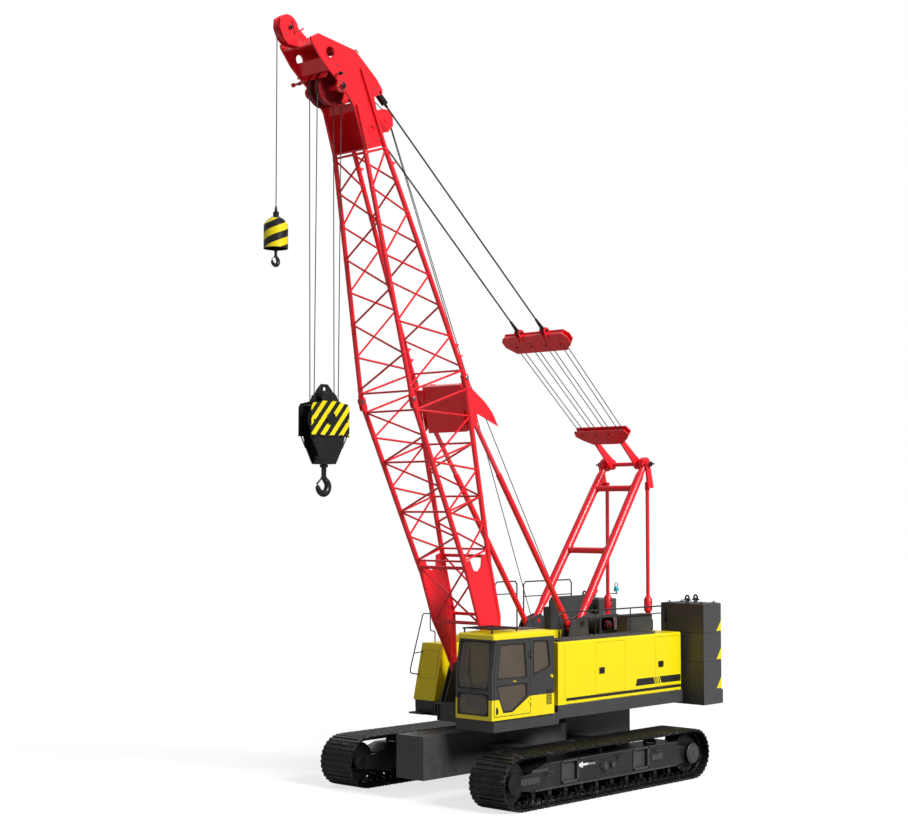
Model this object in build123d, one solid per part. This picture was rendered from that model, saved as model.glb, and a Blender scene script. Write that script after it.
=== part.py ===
from build123d import *
import math
import os

os.makedirs("parts", exist_ok=True)

# Crawler crane with a lattice boom. Millimetres; +X is the boom side, +Y the cab side, +Z up.
# The origin is on the slewing axis at ground level.

# ---- Crawlers ----
track_gauge = 4490.0
shoe_width = 960.0
track_height = 1140.0
idler_x = 3120.0
sprocket_x = -3020.0
shoe_count = 72
shoe_thickness = 55.0
link_depth = 70.0
roller_count = 10
roller_radius = 98.0
roller_width = 300.0
carrier_radius = 60.0
frame_width = 620.0
hub_shaft_radius = 110.0
hub_disc_radius = 235.0
frame_bottom_z = 330.0
frame_top_z = 885.0
running_gap = 0.3

# ---- Carbody ----
beam_x = (1360.0, -1140.0)
beam_width = 480.0
beam_bottom_z = 450.0
beam_top_z = 1050.0
beam_end_top_z = 840.0
beam_end_y = 1690.0
beam_reach_y = 2490.0
spine_half_length = 3600.0
spine_width = 800.0
spine_top_z = 1370.0
hub_radius = 1050.0
ring_radius = 900.0
deck_bottom_z = 1500.0

# ---- Upper works deck ----
deck_top_z = 1900.0
deck_front_x = 2050.0
deck_rear_x = -3930.0
deck_half_width = 1722.0
girder_y = 660.0
plate = 30.0
floor_thickness = 40.0

# ---- Cab ----
cab_front_x = 2970.0
cab_rear_x = 931.0
cab_inner_y = 750.0
cab_outer_y = 1781.0
cab_bottom_z = 1758.0
cab_top_z = 3560.0
cab_roof_thickness = 120.0
cab_body_top_z = cab_top_z - cab_roof_thickness
cab_lean_from_z = 2700.0
cab_wall = 45.0
door_front_x = 2900.0
door_rear_x = 1735.0
screen_y = (815.0, 1671.0)
screen_z = (2400.0, 3390.0)
low_screen_z = (1855.0, 2297.0)
rear_pane_y = (900.0, 1630.0)
rear_pane_z = (2700.0, 3180.0)
door_gap = 6.0
pane_thickness = 8.0
seal_gap = 0.3

# ---- Hoods ----
hood_inner_y = 860.0
hood_outer_y = 1722.0
hood_top_z = 3271.0
hood_front_x = 727.0
service_door_thickness = 40.0
service_door_gap = 8.0
service_door_bottom_z = 2050.0
service_door_top_z = 3190.0
service_knuckle_radius = 13.0
service_knuckle_half = 50.0

# ---- Counterweight ----
weight_front_x = -4127.0
weight_rear_x = -4920.0
weight_inner_y = 964.0
weight_outer_y = 2206.0
weight_bottom_z = 1536.0
weight_top_z = 3935.0
weight_gap = 0.3
weight_edge = 14.0
weight_count = 3

# ---- Boom ----
foot_x = 1478.0
foot_z = 2607.0
boom_angle = 71.756
foot_y = 655.0
foot_eye_thickness = 70.0
foot_eye_radius = 130.0
foot_pin_radius = 45.0
joint_length = 6481.0
joint_half_width = 766.0
joint_half_depth = 854.0
base_plate_top = 2600.0
base_plate_bottom = 1250.0
head_start = 11705.0
head_half_width = 458.0
head_half_depth = 291.0
chord_radius = 57.0
lacing_radius = 24.0
head_plate = 40.0
main_sheave_reach = 1365.0
main_sheave_length = head_start + main_sheave_reach
main_sheave_drop = 575.0
sheave_rope_radius = 335.0
tip_sheave_reach = 2715.0
tip_sheave_length = head_start + tip_sheave_reach
tip_sheave_drop = 1266.0
tip_rope_radius = 250.0
guide_sheave_reach = 495.0
guide_sheave_length = head_start + guide_sheave_reach
guide_sheave_rise = 900.0
guide_rope_radius = 170.0
main_shaft_radius = 60.0
tip_shaft_radius = 45.0
guide_shaft_radius = 35.0
fall_spacing = 118.0
rope_radius = 11.0

# ---- Gantry and luffing gear ----
leg_foot_x = -1300.0
leg_foot_z = 3557.0
leg_foot_y = 660.0
gantry_top_x = -3984.0
gantry_top_z = 7298.0
gantry_top_y = 600.0
leg_radius = 80.0
backstay_x = -4070.0
backstay_y = 620.0
backstay_foot_z = 3420.0
backstay_radius = 45.0
gantry_shaft_radius = 50.0
leg_pin_radius = 45.0
pendant_reach = 1075.0
pendant_length_on_boom = head_start + pendant_reach
pendant_rise_on_boom = 510.0
pendant_y = 385.0
pendant_radius = 20.0
lower_spreader_out = 1160.0
upper_spreader_out = 4275.0
lower_spreader_width = 1640.0
upper_spreader_width = 1980.0
spreader_sheaves = 4
lower_sheave_pitch = 400.0
upper_sheave_pitch = 450.0
spreader_rope_radius = 75.0

# ---- Backstops ----
stop_foot_x = -1014.0
stop_foot_z = 3448.0
stop_y = 640.0
stop_setback = 951.0
stop_length_on_boom = joint_length - stop_setback
stop_rise_on_boom = 950.0
stop_tube_radius = 66.0
stop_rod_radius = 52.0
stop_tube_length = 4300.0
stop_pin_radius = 35.0
stop_lug_offset = 67.0

# ---- Hooks ----
block_top_z = 8740.0
block_height = 1640.0
block_width = 1050.0
block_thickness = 400.0
aux_top_z = 12140.0
aux_radius = 245.0
aux_height = 640.0


def block(x0, x1, y0, y1, z0, z1):
    """A box between two opposite corners."""
    return Pos((x0 + x1) / 2, (y0 + y1) / 2, (z0 + z1) / 2) * Box(abs(x1 - x0), abs(y1 - y0), abs(z1 - z0))


def rod(start, end, radius):
    """A round bar from one point to another."""
    start, end = Vector(start), Vector(end)
    axis = end - start
    return Plane(origin=start, z_dir=axis) * Cylinder(
        radius, axis.length, align=(Align.CENTER, Align.CENTER, Align.MIN)
    )


def prism(start, end, radius, sides=6):
    """A bar of few flat sides, for lacing."""
    start, end = Vector(start), Vector(end)
    axis = end - start
    return extrude(Plane(origin=start, z_dir=axis) * RegularPolygon(radius, sides), axis.length)


def ring(start, end, outer, inner):
    return rod(start, end, outer) - rod(start, end, inner)


def side_plate(points, y, thickness):
    """A flat plate in the XZ plane, centred on y, from its outline."""
    face = make_face(Polyline(*[(x, 0, z) for x, z in points], close=True))
    return Pos(0, y - thickness / 2, 0) * extrude(face, thickness, dir=(0, 1, 0))


def joined(pieces):
    """One solid from pieces that overlap."""
    first, rest = pieces[0], pieces[1:]
    return first.fuse(*rest) if rest else first


def save(shape, node):
    if isinstance(shape, (list, tuple)):
        solids = []
        for piece in shape:
            solids += piece.solids()
        shape = Compound(children=solids)
    export_step(shape, f"parts/{node}.step")


# ---------------------------------------------------------------- crawlers

wheel_z = track_height / 2
pitch_radius = wheel_z - shoe_thickness


def loop_point(s):
    """Point and outward normal on the track's pitch line, s along it from the top rear."""
    top = idler_x - sprocket_x
    turn = math.pi * pitch_radius
    if s < top:
        return (sprocket_x + s, wheel_z + pitch_radius)
    s -= top
    if s < turn:
        a = math.pi / 2 - s / pitch_radius
        return (idler_x + pitch_radius * math.cos(a), wheel_z + pitch_radius * math.sin(a))
    s -= turn
    if s < top:
        return (idler_x - s, wheel_z - pitch_radius)
    s -= top
    a = -math.pi / 2 - s / pitch_radius
    return (sprocket_x + pitch_radius * math.cos(a), wheel_z + pitch_radius * math.sin(a))


def track_outline():
    """Outer and inner outlines of the shoe chain: one flat shoe with two grousers a pitch."""
    length = 2 * (idler_x - sprocket_x) + 2 * math.pi * pitch_radius
    pitch = length / shoe_count
    pins = [loop_point(i * pitch) for i in range(shoe_count)]
    outer, inner = [], []
    # share of the pitch, height over the pitch line
    shoe = (
        (0.06, 0.0), (0.06, 1.0), (0.30, 1.0), (0.36, 0.6), (0.64, 0.6), (0.70, 1.0), (0.94, 1.0),
        (0.94, 0.0),
    )
    for i, (x0, z0) in enumerate(pins):
        x1, z1 = pins[(i + 1) % shoe_count]
        size = math.hypot(x1 - x0, z1 - z0)
        tx, tz = (x1 - x0) / size, (z1 - z0) / size
        nx, nz = -tz, tx
        for share, height in shoe:
            h = height * shoe_thickness
            outer.append((x0 + tx * size * share + nx * h, z0 + tz * size * share + nz * h))
        inner.append((x0 - nx * link_depth, z0 - nz * link_depth))
    return outer, inner


def make_track(side):
    outer, inner = track_outline()
    y = side * track_gauge / 2
    low = min(z for _, z in outer)
    chain = side_plate(outer, y, shoe_width) - side_plate(inner, y, shoe_width + 10)
    return Pos(0, 0, -low) * chain, -low


track_left, track_lift = make_track(1)
track_right, _ = make_track(-1)
save(track_left, "track_left")
save(track_right, "track_right")

inner_radius = pitch_radius - link_depth - 12.0
hub_bore = hub_shaft_radius + running_gap
carrier_x = (-1900, 100, 1900)
wheel_centre_z = wheel_z + track_lift
run_top_z = wheel_centre_z + pitch_radius - link_depth
run_bottom_z = wheel_centre_z - pitch_radius + link_depth


def make_wheel(side, x, hub_reach):
    y = side * track_gauge / 2
    rim = rod((x, y - 170, wheel_centre_z), (x, y + 170, wheel_centre_z), inner_radius)
    edge = y + side * frame_width / 2
    shaft = rod(
        (x, y - side * (frame_width / 2 - 10), wheel_centre_z), (x, edge + side * 1, wheel_centre_z),
        hub_shaft_radius,
    )
    disc = rod(
        (x, edge + side * running_gap, wheel_centre_z), (x, edge + side * hub_reach, wheel_centre_z),
        hub_disc_radius,
    )
    return joined([rim, shaft, disc])


save([make_wheel(side, sprocket_x, 95) for side in (1, -1)], "drive_sprockets")
save([make_wheel(side, idler_x, 20) for side in (1, -1)], "idler_wheels")


def make_crawler_frame(side):
    """Box frame between the wheels, with cheeks that carry them and pockets for the beams."""
    y = side * track_gauge / 2
    clear = inner_radius + 40
    front_x, rear_x = idler_x - clear, sprocket_x + clear
    body = side_plate(
        (
            (rear_x, frame_bottom_z), (rear_x, frame_top_z), (front_x - 500, frame_top_z),
            (front_x, frame_top_z - 150), (front_x, frame_bottom_z),
        ), y, frame_width,
    )
    for x in beam_x:
        half = beam_width / 2
        body -= block(x - half, x + half, y - 500, y + 500, beam_bottom_z, beam_end_top_z)
    cheek = 60
    for edge in (-1, 1):
        cheek_y = y + edge * (frame_width - cheek) / 2
        front = (
            (front_x - 30, 350), (front_x - 30, 720), (idler_x + 160, 690), (idler_x + 240, 570),
            (idler_x + 160, 430),
        )
        rear = (
            (rear_x + 30, 350), (rear_x + 30, 790), (sprocket_x - 160, 720), (sprocket_x - 240, 570),
            (sprocket_x - 160, 420),
        )
        body = body.fuse(side_plate(front, cheek_y, cheek), side_plate(rear, cheek_y, cheek))
    for x in (idler_x, sprocket_x):
        body -= rod((x, y - 600, wheel_centre_z), (x, y + 600, wheel_centre_z), hub_bore)
    return body


save(make_crawler_frame(1), "crawler_frame_left")
save(make_crawler_frame(-1), "crawler_frame_right")


def make_rollers(side):
    """Lower rollers, each hung from the frame by its two ears."""
    y = side * track_gauge / 2
    first, last = sprocket_x + 680, idler_x - 680
    z = run_bottom_z + roller_radius + running_gap
    rollers = []
    for i in range(roller_count):
        x = first + (last - first) * i / (roller_count - 1)
        wheel = rod((x, y - roller_width / 2, z), (x, y + roller_width / 2, z), roller_radius)
        shaft = rod((x, y - 210, z), (x, y + 210, z), 40)
        ears = [
            block(x - 60, x + 60, y + e * 190 - 25, y + e * 190 + 25, z - 60, frame_bottom_z)
            for e in (-1, 1)
        ]
        rollers.append(joined([wheel, shaft] + ears))
    return rollers


def make_carriers(side):
    """Upper rollers on brackets over the frame."""
    y = side * track_gauge / 2
    z = run_top_z - carrier_radius - running_gap
    carriers = []
    for x in carrier_x:
        wheel = rod((x, y - 100, z), (x, y + 100, z), carrier_radius)
        shaft = rod((x, y - 160, z), (x, y + 160, z), 22)
        ears = [
            block(x - 35, x + 35, y + e * 145 - 15, y + e * 145 + 15, frame_top_z, z + 25)
            for e in (-1, 1)
        ]
        carriers.append(joined([wheel, shaft] + ears))
    return carriers


save(make_rollers(1) + make_rollers(-1) + make_carriers(1) + make_carriers(-1), "track_rollers")

# ---------------------------------------------------------------- carbody and slewing ring


def make_carbody():
    half = beam_width / 2
    pieces = [
        block(
            -spine_half_length, spine_half_length, -spine_width / 2, spine_width / 2, beam_bottom_z,
            spine_top_z,
        ),
        rod((0, 0, beam_bottom_z), (0, 0, spine_top_z), hub_radius),
    ]
    for x in beam_x:
        pieces.append(block(x - half, x + half, -beam_end_y, beam_end_y, beam_bottom_z, beam_top_z))
        pieces.append(block(x - half, x + half, -beam_reach_y, beam_reach_y, beam_bottom_z, beam_end_top_z))
    return joined(pieces)


save(make_carbody(), "carbody")
ring_split_z = (spine_top_z + deck_bottom_z) / 2
save(
    ring((0, 0, spine_top_z), (0, 0, ring_split_z - running_gap), ring_radius, ring_radius - 160),
    "slew_ring",
)

# ---------------------------------------------------------------- deck

leg_plates_y = (girder_y - 105, girder_y + 100)


def make_deck():
    """Floor, two deep girders, cross plates, and the brackets for boom, gantry and backstops."""
    floor_rear = deck_rear_x
    pieces = [
        block(
            floor_rear, hood_front_x, -deck_half_width, deck_half_width, deck_top_z - floor_thickness,
            deck_top_z,
        ),
        block(
            hood_front_x - 10, deck_front_x, -girder_y - 115, girder_y + 85, deck_top_z - floor_thickness,
            deck_top_z,
        ),
        block(weight_front_x, deck_front_x, -girder_y - 15, -girder_y + 15, deck_bottom_z, deck_top_z),
        block(weight_front_x, deck_front_x, girder_y - 15, girder_y + 15, deck_bottom_z, deck_top_z),
        block(-1000, 1000, -1000, 1000, deck_bottom_z, deck_bottom_z + 40),
        ring((0, 0, ring_split_z), (0, 0, deck_bottom_z + 10), ring_radius + 60, ring_radius - 160),
        block(
            floor_rear, hood_front_x, deck_half_width - 30, deck_half_width, deck_bottom_z + 110,
            deck_top_z,
        ),
        block(
            floor_rear, hood_front_x, -deck_half_width, -deck_half_width + 30, deck_bottom_z + 110,
            deck_top_z,
        ),
        # arm under the cab and arm under the front right box
        block(
            hood_front_x - 30, cab_front_x - 120, girder_y - 15, cab_outer_y - 60, deck_bottom_z,
            cab_bottom_z,
        ),
        block(
            hood_front_x - 30, 1500, -deck_half_width, -girder_y + 15, deck_bottom_z + 40, deck_top_z - 40,
        ),
    ]
    for x in (deck_rear_x, -2900, -1700, 1985):
        pieces.append(block(x, x + 30, -girder_y, girder_y, deck_bottom_z, deck_top_z))
    for side in (1, -1):
        for y in leg_plates_y:
            pieces.append(
                side_plate(
                    (
                        (-1750, deck_top_z - 5), (-1500, 3640), (-1380, 3720), (-940, 3600), (-850, 3450),
                        (-700, deck_top_z - 5),
                    ),
                    side * y, plate,
                )
            )
            pieces.append(
                side_plate(
                    (
                        (-4140, deck_top_z - 5), (-4140, 3500), (-4000, 3540), (-3880, 3400),
                        (-3500, deck_top_z - 5),
                    ),
                    side * (backstay_y + (y - girder_y) * 0.8), plate,
                )
            )
        for offset in (-62, 62):
            pieces.append(
                side_plate(
                    (
                        (foot_x - 420, deck_top_z - 5), (foot_x - 130, foot_z + 60),
                        (foot_x - 60, foot_z + 150), (foot_x + 60, foot_z + 150),
                        (foot_x + 130, foot_z + 60), (foot_x + 420, deck_top_z - 5),
                    ),
                    side * (foot_y + offset), 30,
                )
            )
    body = joined(pieces)
    for side in (1, -1):
        for x, y, z, radius in (
            (leg_foot_x, leg_foot_y, leg_foot_z, leg_pin_radius), 
            (backstay_x, backstay_y, backstay_foot_z, 40),
        ):
            body -= rod((x, side * y - 160, z), (x, side * y + 160, z), radius)
    pins = [
        rod(
            (stop_foot_x, side * girder_y - 110, stop_foot_z),
            (stop_foot_x, side * girder_y + 110, stop_foot_z), stop_pin_radius,
        )
        for side in (1, -1)
    ]
    pins += [
        rod((foot_x, side * foot_y - 82, foot_z), (foot_x, side * foot_y + 82, foot_z), foot_pin_radius)
        for side in (1, -1)
    ]
    return body.fuse(*pins)


save(make_deck(), "deck")

# ---------------------------------------------------------------- cab


def rounded(shape, radius, axis=Axis.Y):
    return fillet(shape.edges().filter_by(axis), radius)


def window_y(points, y0, y1):
    """A window cut along Y through outline points (x, z)."""
    face = make_face(Polyline(*[(x, y0, z) for x, z in points], close=True))
    return extrude(face, y1 - y0, dir=(0, 1, 0))


front_lean = 120.0
# outlines in (x, z): side windows of the cab
inner_window = ((1010, 2450), (1010, 3330), (2660, 3330), (2780, 2450))
rear_window = ((1056, 2786), (1134, 3345), (1628, 3363), (1631, 2629))
door_outline = (
    (door_rear_x, 1835), (door_rear_x, 3400), (door_front_x - 110, 3400),
    (door_front_x, 2640), (door_front_x, 1835),
)
door_upper = (
    (door_rear_x + 104, 2600), (door_rear_x + 171, 3334), (door_front_x - 200, 3334),
    (door_front_x - 88, 2620),
)
door_lower = (
    (door_rear_x + 105, 2197), (door_rear_x + 105, 2480), (door_front_x - 95, 2480),
    (door_front_x - 150, 2224), (door_front_x - 287, 1921), (door_front_x - 579, 1911),
)


def cab_body_outline(inset=0.0):
    return (
        (cab_rear_x + inset, cab_bottom_z + inset), (cab_rear_x + inset, cab_body_top_z - inset),
        (cab_front_x - front_lean - inset, cab_body_top_z - inset), (cab_front_x - inset, cab_lean_from_z),
        (cab_front_x - inset, cab_bottom_z + inset),
    )


def make_cab_shell():
    depth = cab_outer_y - cab_inner_y
    mid = (cab_outer_y + cab_inner_y) / 2
    outer = side_plate(cab_body_outline(), mid, depth)
    inner = side_plate(cab_body_outline(cab_wall), mid, depth - 2 * cab_wall)
    shell = outer - inner
    far = cab_outer_y + 20
    near = cab_outer_y - cab_wall - 20
    door_hole = window_y(door_outline, near, far)
    shell -= door_hole
    shell -= window_y(rear_window, near, far)
    shell -= window_y(inner_window, cab_inner_y - 20, cab_inner_y + cab_wall + 20)
    # windscreen and lower front pane
    y0, y1 = screen_y
    for z0, z1 in (screen_z, low_screen_z):
        shell -= block(cab_front_x - 300, cab_front_x + 50, y0, y1, z0, z1)
    shell -= block(cab_rear_x - 30, cab_rear_x + 200, *rear_pane_y, *rear_pane_z)
    roof_x = (cab_rear_x - 20, cab_front_x - front_lean + 60)
    roof = block(*roof_x, cab_inner_y + 2, cab_outer_y + 15, cab_body_top_z, cab_top_z)
    for axis in (Axis.Z, Axis.Y):
        edges = [e for e in roof.edges().filter_by(axis) if axis == Axis.Z or e.center().Z > cab_top_z - 1]
        roof = fillet(edges, 50)
    return shell.fuse(roof)


hinge_x = door_rear_x - 8
hinge_y = cab_outer_y + 22
hinge_levels = (2080.0, 3080.0)


def door_knuckles(moving):
    """Hinges of the cab door: the door's knuckle turns on a pin between the shell's two lugs."""
    pieces = []
    for z in hinge_levels:
        if moving:
            arm = block(hinge_x, door_rear_x + 60, cab_outer_y + 2, hinge_y, z - 30, z + 30)
            knuckle = rod((hinge_x, hinge_y, z - 30), (hinge_x, hinge_y, z + 30), 18).fuse(arm)
            pieces.append(
                knuckle - rod((hinge_x, hinge_y, z - 40), (hinge_x, hinge_y, z + 40), 9 + running_gap)
            )
        else:
            for low in (z - 70, z + 30 + running_gap):
                pieces.append(rod((hinge_x, hinge_y, low), (hinge_x, hinge_y, low + 40 - running_gap), 18))
                pieces.append(
                    block(hinge_x - 60, hinge_x, cab_outer_y - 5, hinge_y + 6, low, low + 40 - running_gap)
                )
            pieces.append(rod((hinge_x, hinge_y, z - 60), (hinge_x, hinge_y, z + 60), 9))
    return pieces


save(make_cab_shell().fuse(*door_knuckles(False)), "cab_shell")


def pane_y(points, y):
    """A pane that stands seal_gap inside its opening all round."""
    face = make_face(Polyline(*[(x, y, z) for x, z in points], close=True))
    return extrude(offset(face, -seal_gap, kind=Kind.INTERSECTION), pane_thickness, dir=(0, 1, 0))


def flat_pane(x, y, z):
    """A pane across X that stands seal_gap inside its opening."""
    g = seal_gap
    return block(x, x + pane_thickness, y[0] + g, y[1] - g, z[0] + g, z[1] - g)


def make_cab_glass():
    lean = math.degrees(math.atan2(front_lean, cab_body_top_z - cab_lean_from_z))
    slope = (screen_z[1] - 5 - cab_lean_from_z) / math.cos(math.radians(lean))
    upper = block(-20, -20 + pane_thickness, screen_y[0] + seal_gap, screen_y[1] - seal_gap, 5, slope)
    upper = Pos(cab_front_x, 0, cab_lean_from_z) * Rot(0, -lean, 0) * upper
    front_x = cab_front_x - 20
    return [
        pane_y(rear_window, cab_outer_y - 30),
        pane_y(inner_window, cab_inner_y + 20),
        upper,
        flat_pane(front_x, screen_y, (screen_z[0], cab_lean_from_z + seal_gap)),
        flat_pane(front_x, screen_y, low_screen_z),
        flat_pane(cab_rear_x + 15, rear_pane_y, rear_pane_z),
    ]


save(make_cab_glass(), "cab_glass")


def make_cab_door():
    face = make_face(Polyline(*[(x, 0, z) for x, z in door_outline], close=True))
    edge = offset(face, -door_gap, kind=Kind.INTERSECTION)
    door = Pos(0, cab_outer_y - cab_wall + 2, 0) * extrude(edge, cab_wall + 2, dir=(0, 1, 0))
    door -= window_y(door_upper, cab_outer_y - 100, cab_outer_y + 50)
    door -= window_y(door_lower, cab_outer_y - 100, cab_outer_y + 50)
    return door


save(make_cab_door().fuse(*door_knuckles(True)), "cab_door")
save([pane_y(door_upper, cab_outer_y - 25), pane_y(door_lower, cab_outer_y - 25)], "cab_door_glass")


def make_cab_seat():
    mid = (cab_inner_y + cab_outer_y) / 2
    floor = cab_bottom_z + cab_wall
    cushion = rounded(block(1450, 1960, mid - 250, mid + 250, floor + 420, floor + 540), 40)
    back = Pos(1440, mid, floor + 860) * Rot(0, -8, 0) * Box(110, 480, 720)
    post = block(1560, 1850, mid - 160, mid + 160, floor, floor + 425)
    head = Pos(1385, mid, floor + 1290) * Box(90, 260, 150)
    return joined([cushion, back, post, head])


save(make_cab_seat(), "cab_seat")


def make_cab_console():
    mid = (cab_inner_y + cab_outer_y) / 2
    floor = cab_bottom_z + cab_wall
    pieces = []
    for side in (1, -1):
        y = mid + side * 360
        pieces.append(joined([
            block(1550, 2150, y - 80, y + 80, floor, floor + 620),
            rod((2080, y, floor + 600), (2080, y, floor + 800), 16),
            rod((2080, y, floor + 800), (2080, y, floor + 880), 32),
        ]))
    front = joined([
        block(2560, 2740, mid - 60, mid + 330, floor, floor + 240),
        rod((2600, mid - 20, floor + 230), (2660, mid - 20, floor + 420), 14),
    ])
    pieces.append(front)
    return pieces


save(make_cab_console(), "cab_controls")

# ---------------------------------------------------------------- hoods and boxes on deck

service_doors = (
    # node, x of hinge edge, x of free edge
    ("service_door_front", -1680.0, -610.0),
    ("service_door_rear", -3790.0, -2850.0),
)


def service_knuckles(side, x, extra=0.0):
    """The two hinge barrels of a service door, on the line that it turns about."""
    y = side * hood_outer_y
    half = service_knuckle_half + extra
    levels = (service_door_bottom_z + 200, service_door_top_z - 200)
    return [rod((x, y, z - half), (x, y, z + half), service_knuckle_radius + extra) for z in levels]


def make_hood(side):
    """Closed housing over the engine and pumps, with a recess for each door."""
    y0, y1 = side * hood_inner_y, side * hood_outer_y
    body = block(deck_rear_x, hood_front_x, y0, y1, deck_top_z, hood_top_z)
    outer = [e for e in body.edges() if abs(e.center().Y - y1) < 1]
    body = fillet([e for e in outer if e.center().Z > hood_top_z - 1], 45)
    rear = [e for e in body.edges().filter_by(Axis.Z) if e.center().X < deck_rear_x + 1]
    body = fillet([e for e in rear if abs(e.center().Y - y1) < 1], 90)
    depth = service_door_thickness + seal_gap
    z0, z1 = service_door_bottom_z - service_door_gap, service_door_top_z + service_door_gap
    for _, x0, x1 in service_doors:
        low, high = min(x0, x1) - service_door_gap, max(x0, x1) + service_door_gap
        body -= block(low, high, side * (hood_outer_y - depth), side * (hood_outer_y + 50), z0, z1)
        for barrel in service_knuckles(side, x0, running_gap):
            body -= barrel
    return body


save(make_hood(1), "hood_left")
save(make_hood(-1), "hood_right")


def make_service_door(side, x0, x1):
    y0, y1 = side * (hood_outer_y - service_door_thickness), side * hood_outer_y
    door = block(x0, x1, y0, y1, service_door_bottom_z, service_door_top_z)
    latch = block(x1 - 300, x1 - 110, y1 - side * 5, y1 + side * 8, 2490, 2630)
    return door.fuse(latch, *service_knuckles(side, x0))


for side, name in ((1, "left"), (-1, "right")):
    for node, x0, x1 in service_doors:
        save(make_service_door(side, x0, x1), f"{node}_{name}")


def make_front_box():
    """Right front box: slanted face, dark plinth and a step."""
    outline = ((740, 1866), (740, 3130), (1440, 3130), (1735, 1866))
    body = side_plate(outline, -1390, 660)
    return body


save(make_front_box(), "front_box_right")


def make_front_plinth():
    plinth = side_plate(((1500, 1530), (1500, 1866), (1690, 1866), (1670, 1530)), -1390, 640)
    step = block(1600, 1900, -1700, -1250, 1560, 1600)
    return plinth.fuse(step)


save(make_front_plinth(), "front_plinth_right")


def make_engine():
    return block(-3300, -1900, -500, 500, deck_top_z, 2300)


save(make_engine(), "engine_block")


def make_rear_box():
    """Tall guard with its radiator case behind it on the right hood, and its slots."""
    outline = ((-3640, hood_top_z), (-3640, 4070), (-2270, 4070), (-2180, 3960), (-2180, hood_top_z))
    body = side_plate(outline, -930, 60)
    body = body.fuse(block(-3600, -2500, -1400, -945, hood_top_z, 3800))
    for i in range(5):
        z = hood_top_z + 110 + i * 80
        body -= block(-3500, -2600, -1410, -1370, z, z + 40)
    return body


save(make_rear_box(), "air_box")


def make_walkway():
    """Walkway plate on the left hood and the locker beside it."""
    return [
        block(-2950, 600, 1300, 1650, hood_top_z, hood_top_z + 40),
        block(-3470, -2485, 880, 1180, hood_top_z, 3700),
    ]


save(make_walkway(), "walkway")


def between(a, b, share):
    return a + (b - a) * share


def rail(points, radius):
    """A bent bar through the points, with spheres at its corners."""
    pieces = [rod(a, b, radius) for a, b in zip(points, points[1:])]
    pieces += [Pos(*p) * Sphere(radius) for p in points[1:-1]]
    return joined(pieces)


rail_radius = 17.0
rail_loops = (
    # y, height of the top bar, height of the middle bar, ends along X
    (-1650.0, 4420.0, 4060.0, (-3900.0, -2050.0)),
    (-1650.0, 4440.0, 4140.0, (-1800.0, -1000.0)),
    (1240.0, 3870.0, 3700.0, (-3850.0, 100.0)),
)


def make_handrails():
    rails = []
    for y, top, middle, (x0, x1) in rail_loops:
        corner = 70.0
        points = [
            (x0, y, hood_top_z), (x0, y, top - corner), (x0 + corner, y, top),
            (x1 - corner, y, top), (x1, y, top - corner), (x1, y, hood_top_z),
        ]
        posts = round((x1 - x0) / 1300.0)
        frame = rail(points, rail_radius).fuse(rod((x0, y, middle), (x1, y, middle), rail_radius * 0.8))
        for i in range(1, posts):
            x = between(x0, x1, i / posts)
            frame = frame.fuse(rod((x, y, hood_top_z), (x, y, top), rail_radius * 0.8))
        rails.append(frame)
    return rails


save(make_handrails(), "handrails")

# ---------------------------------------------------------------- counterweight


def make_tray():
    """Base slab across the back, carried by the girders, with an upstand under each stack."""
    z1 = weight_bottom_z + 330
    return block(weight_rear_x, weight_front_x, -weight_outer_y, weight_outer_y, weight_bottom_z, z1), z1


tray, tray_top_z = make_tray()
save(tray, "counterweight_tray")


def make_weights():
    blocks = []
    height = (weight_top_z - tray_top_z) / weight_count
    for side in (1, -1):
        for i in range(weight_count):
            z0 = tray_top_z + i * height + (weight_gap if i else 0)
            z1 = tray_top_z + (i + 1) * height
            piece = block(
                weight_rear_x, weight_front_x, side * weight_inner_y, side * weight_outer_y, z0, z1,
            )
            corner = [e for e in piece.edges().filter_by(Axis.Z) if e.center().X < weight_rear_x + 1]
            piece = chamfer(corner, 60)
            seam = [e for e in piece.edges() if abs(e.center().Z - z1) < 1]
            piece = chamfer(seam, weight_edge)
            blocks.append(piece)
        # lifting lugs on the top block
        top = blocks[-1]
        for x in (-4700, -4350):
            lug = side_plate(
                (
                    (x - 70, weight_top_z - 5), (x - 40, weight_top_z + 110), (x + 40, weight_top_z + 110),
                    (x + 70, weight_top_z - 5),
                ),
                side * 1585, 30,
            )
            lug -= rod(
                (x, side * 1585 - 50, weight_top_z + 65), (x, side * 1585 + 50, weight_top_z + 65), 26,
            )
            top = top.fuse(lug)
        blocks[-1] = top
    return blocks


save(make_weights(), "counterweight_blocks")

# ---------------------------------------------------------------- winches

winches = (
    # node, x, z, core radius, flange radius, half width
    ("main_drum", -560.0, 2480.0, 230.0, 380.0, 380.0),
    ("aux_drum", -1850.0, 2680.0, 200.0, 330.0, 380.0),
    ("luffing_drum", -2760.0, 3420.0, 180.0, 270.0, 380.0),
)
winch_plate_y = 430.0
shaft_radius = 60.0


def make_drum(x, z, core, flange, half):
    pieces = [rod((x, -half, z), (x, half, z), core)]
    for side in (1, -1):
        pieces.append(rod((x, side * (half - 30), z), (x, side * half, z), flange))
    pieces.append(rod((x, -winch_plate_y - 40, z), (x, winch_plate_y + 40, z), shaft_radius))
    return joined(pieces)


for node, x, z, core, flange, half in winches:
    save(make_drum(x, z, core, flange, half), node)


def winch_side(node, x, z):
    """Outline of a winch's side plate: a stand, or the tall portal of the luffing winch."""
    if node == "luffing_drum":
        return (
            (x - 370, 2300), (x - 370, 3640), (x - 330, 3680), (x + 330, 3680), (x + 370, 3640),
            (x + 370, 2300),
        )
    base = deck_top_z if node == "main_drum" else 2300
    return ((x - 330, base), (x - 120, z + 110), (x + 120, z + 110), (x + 330, base))


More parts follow.
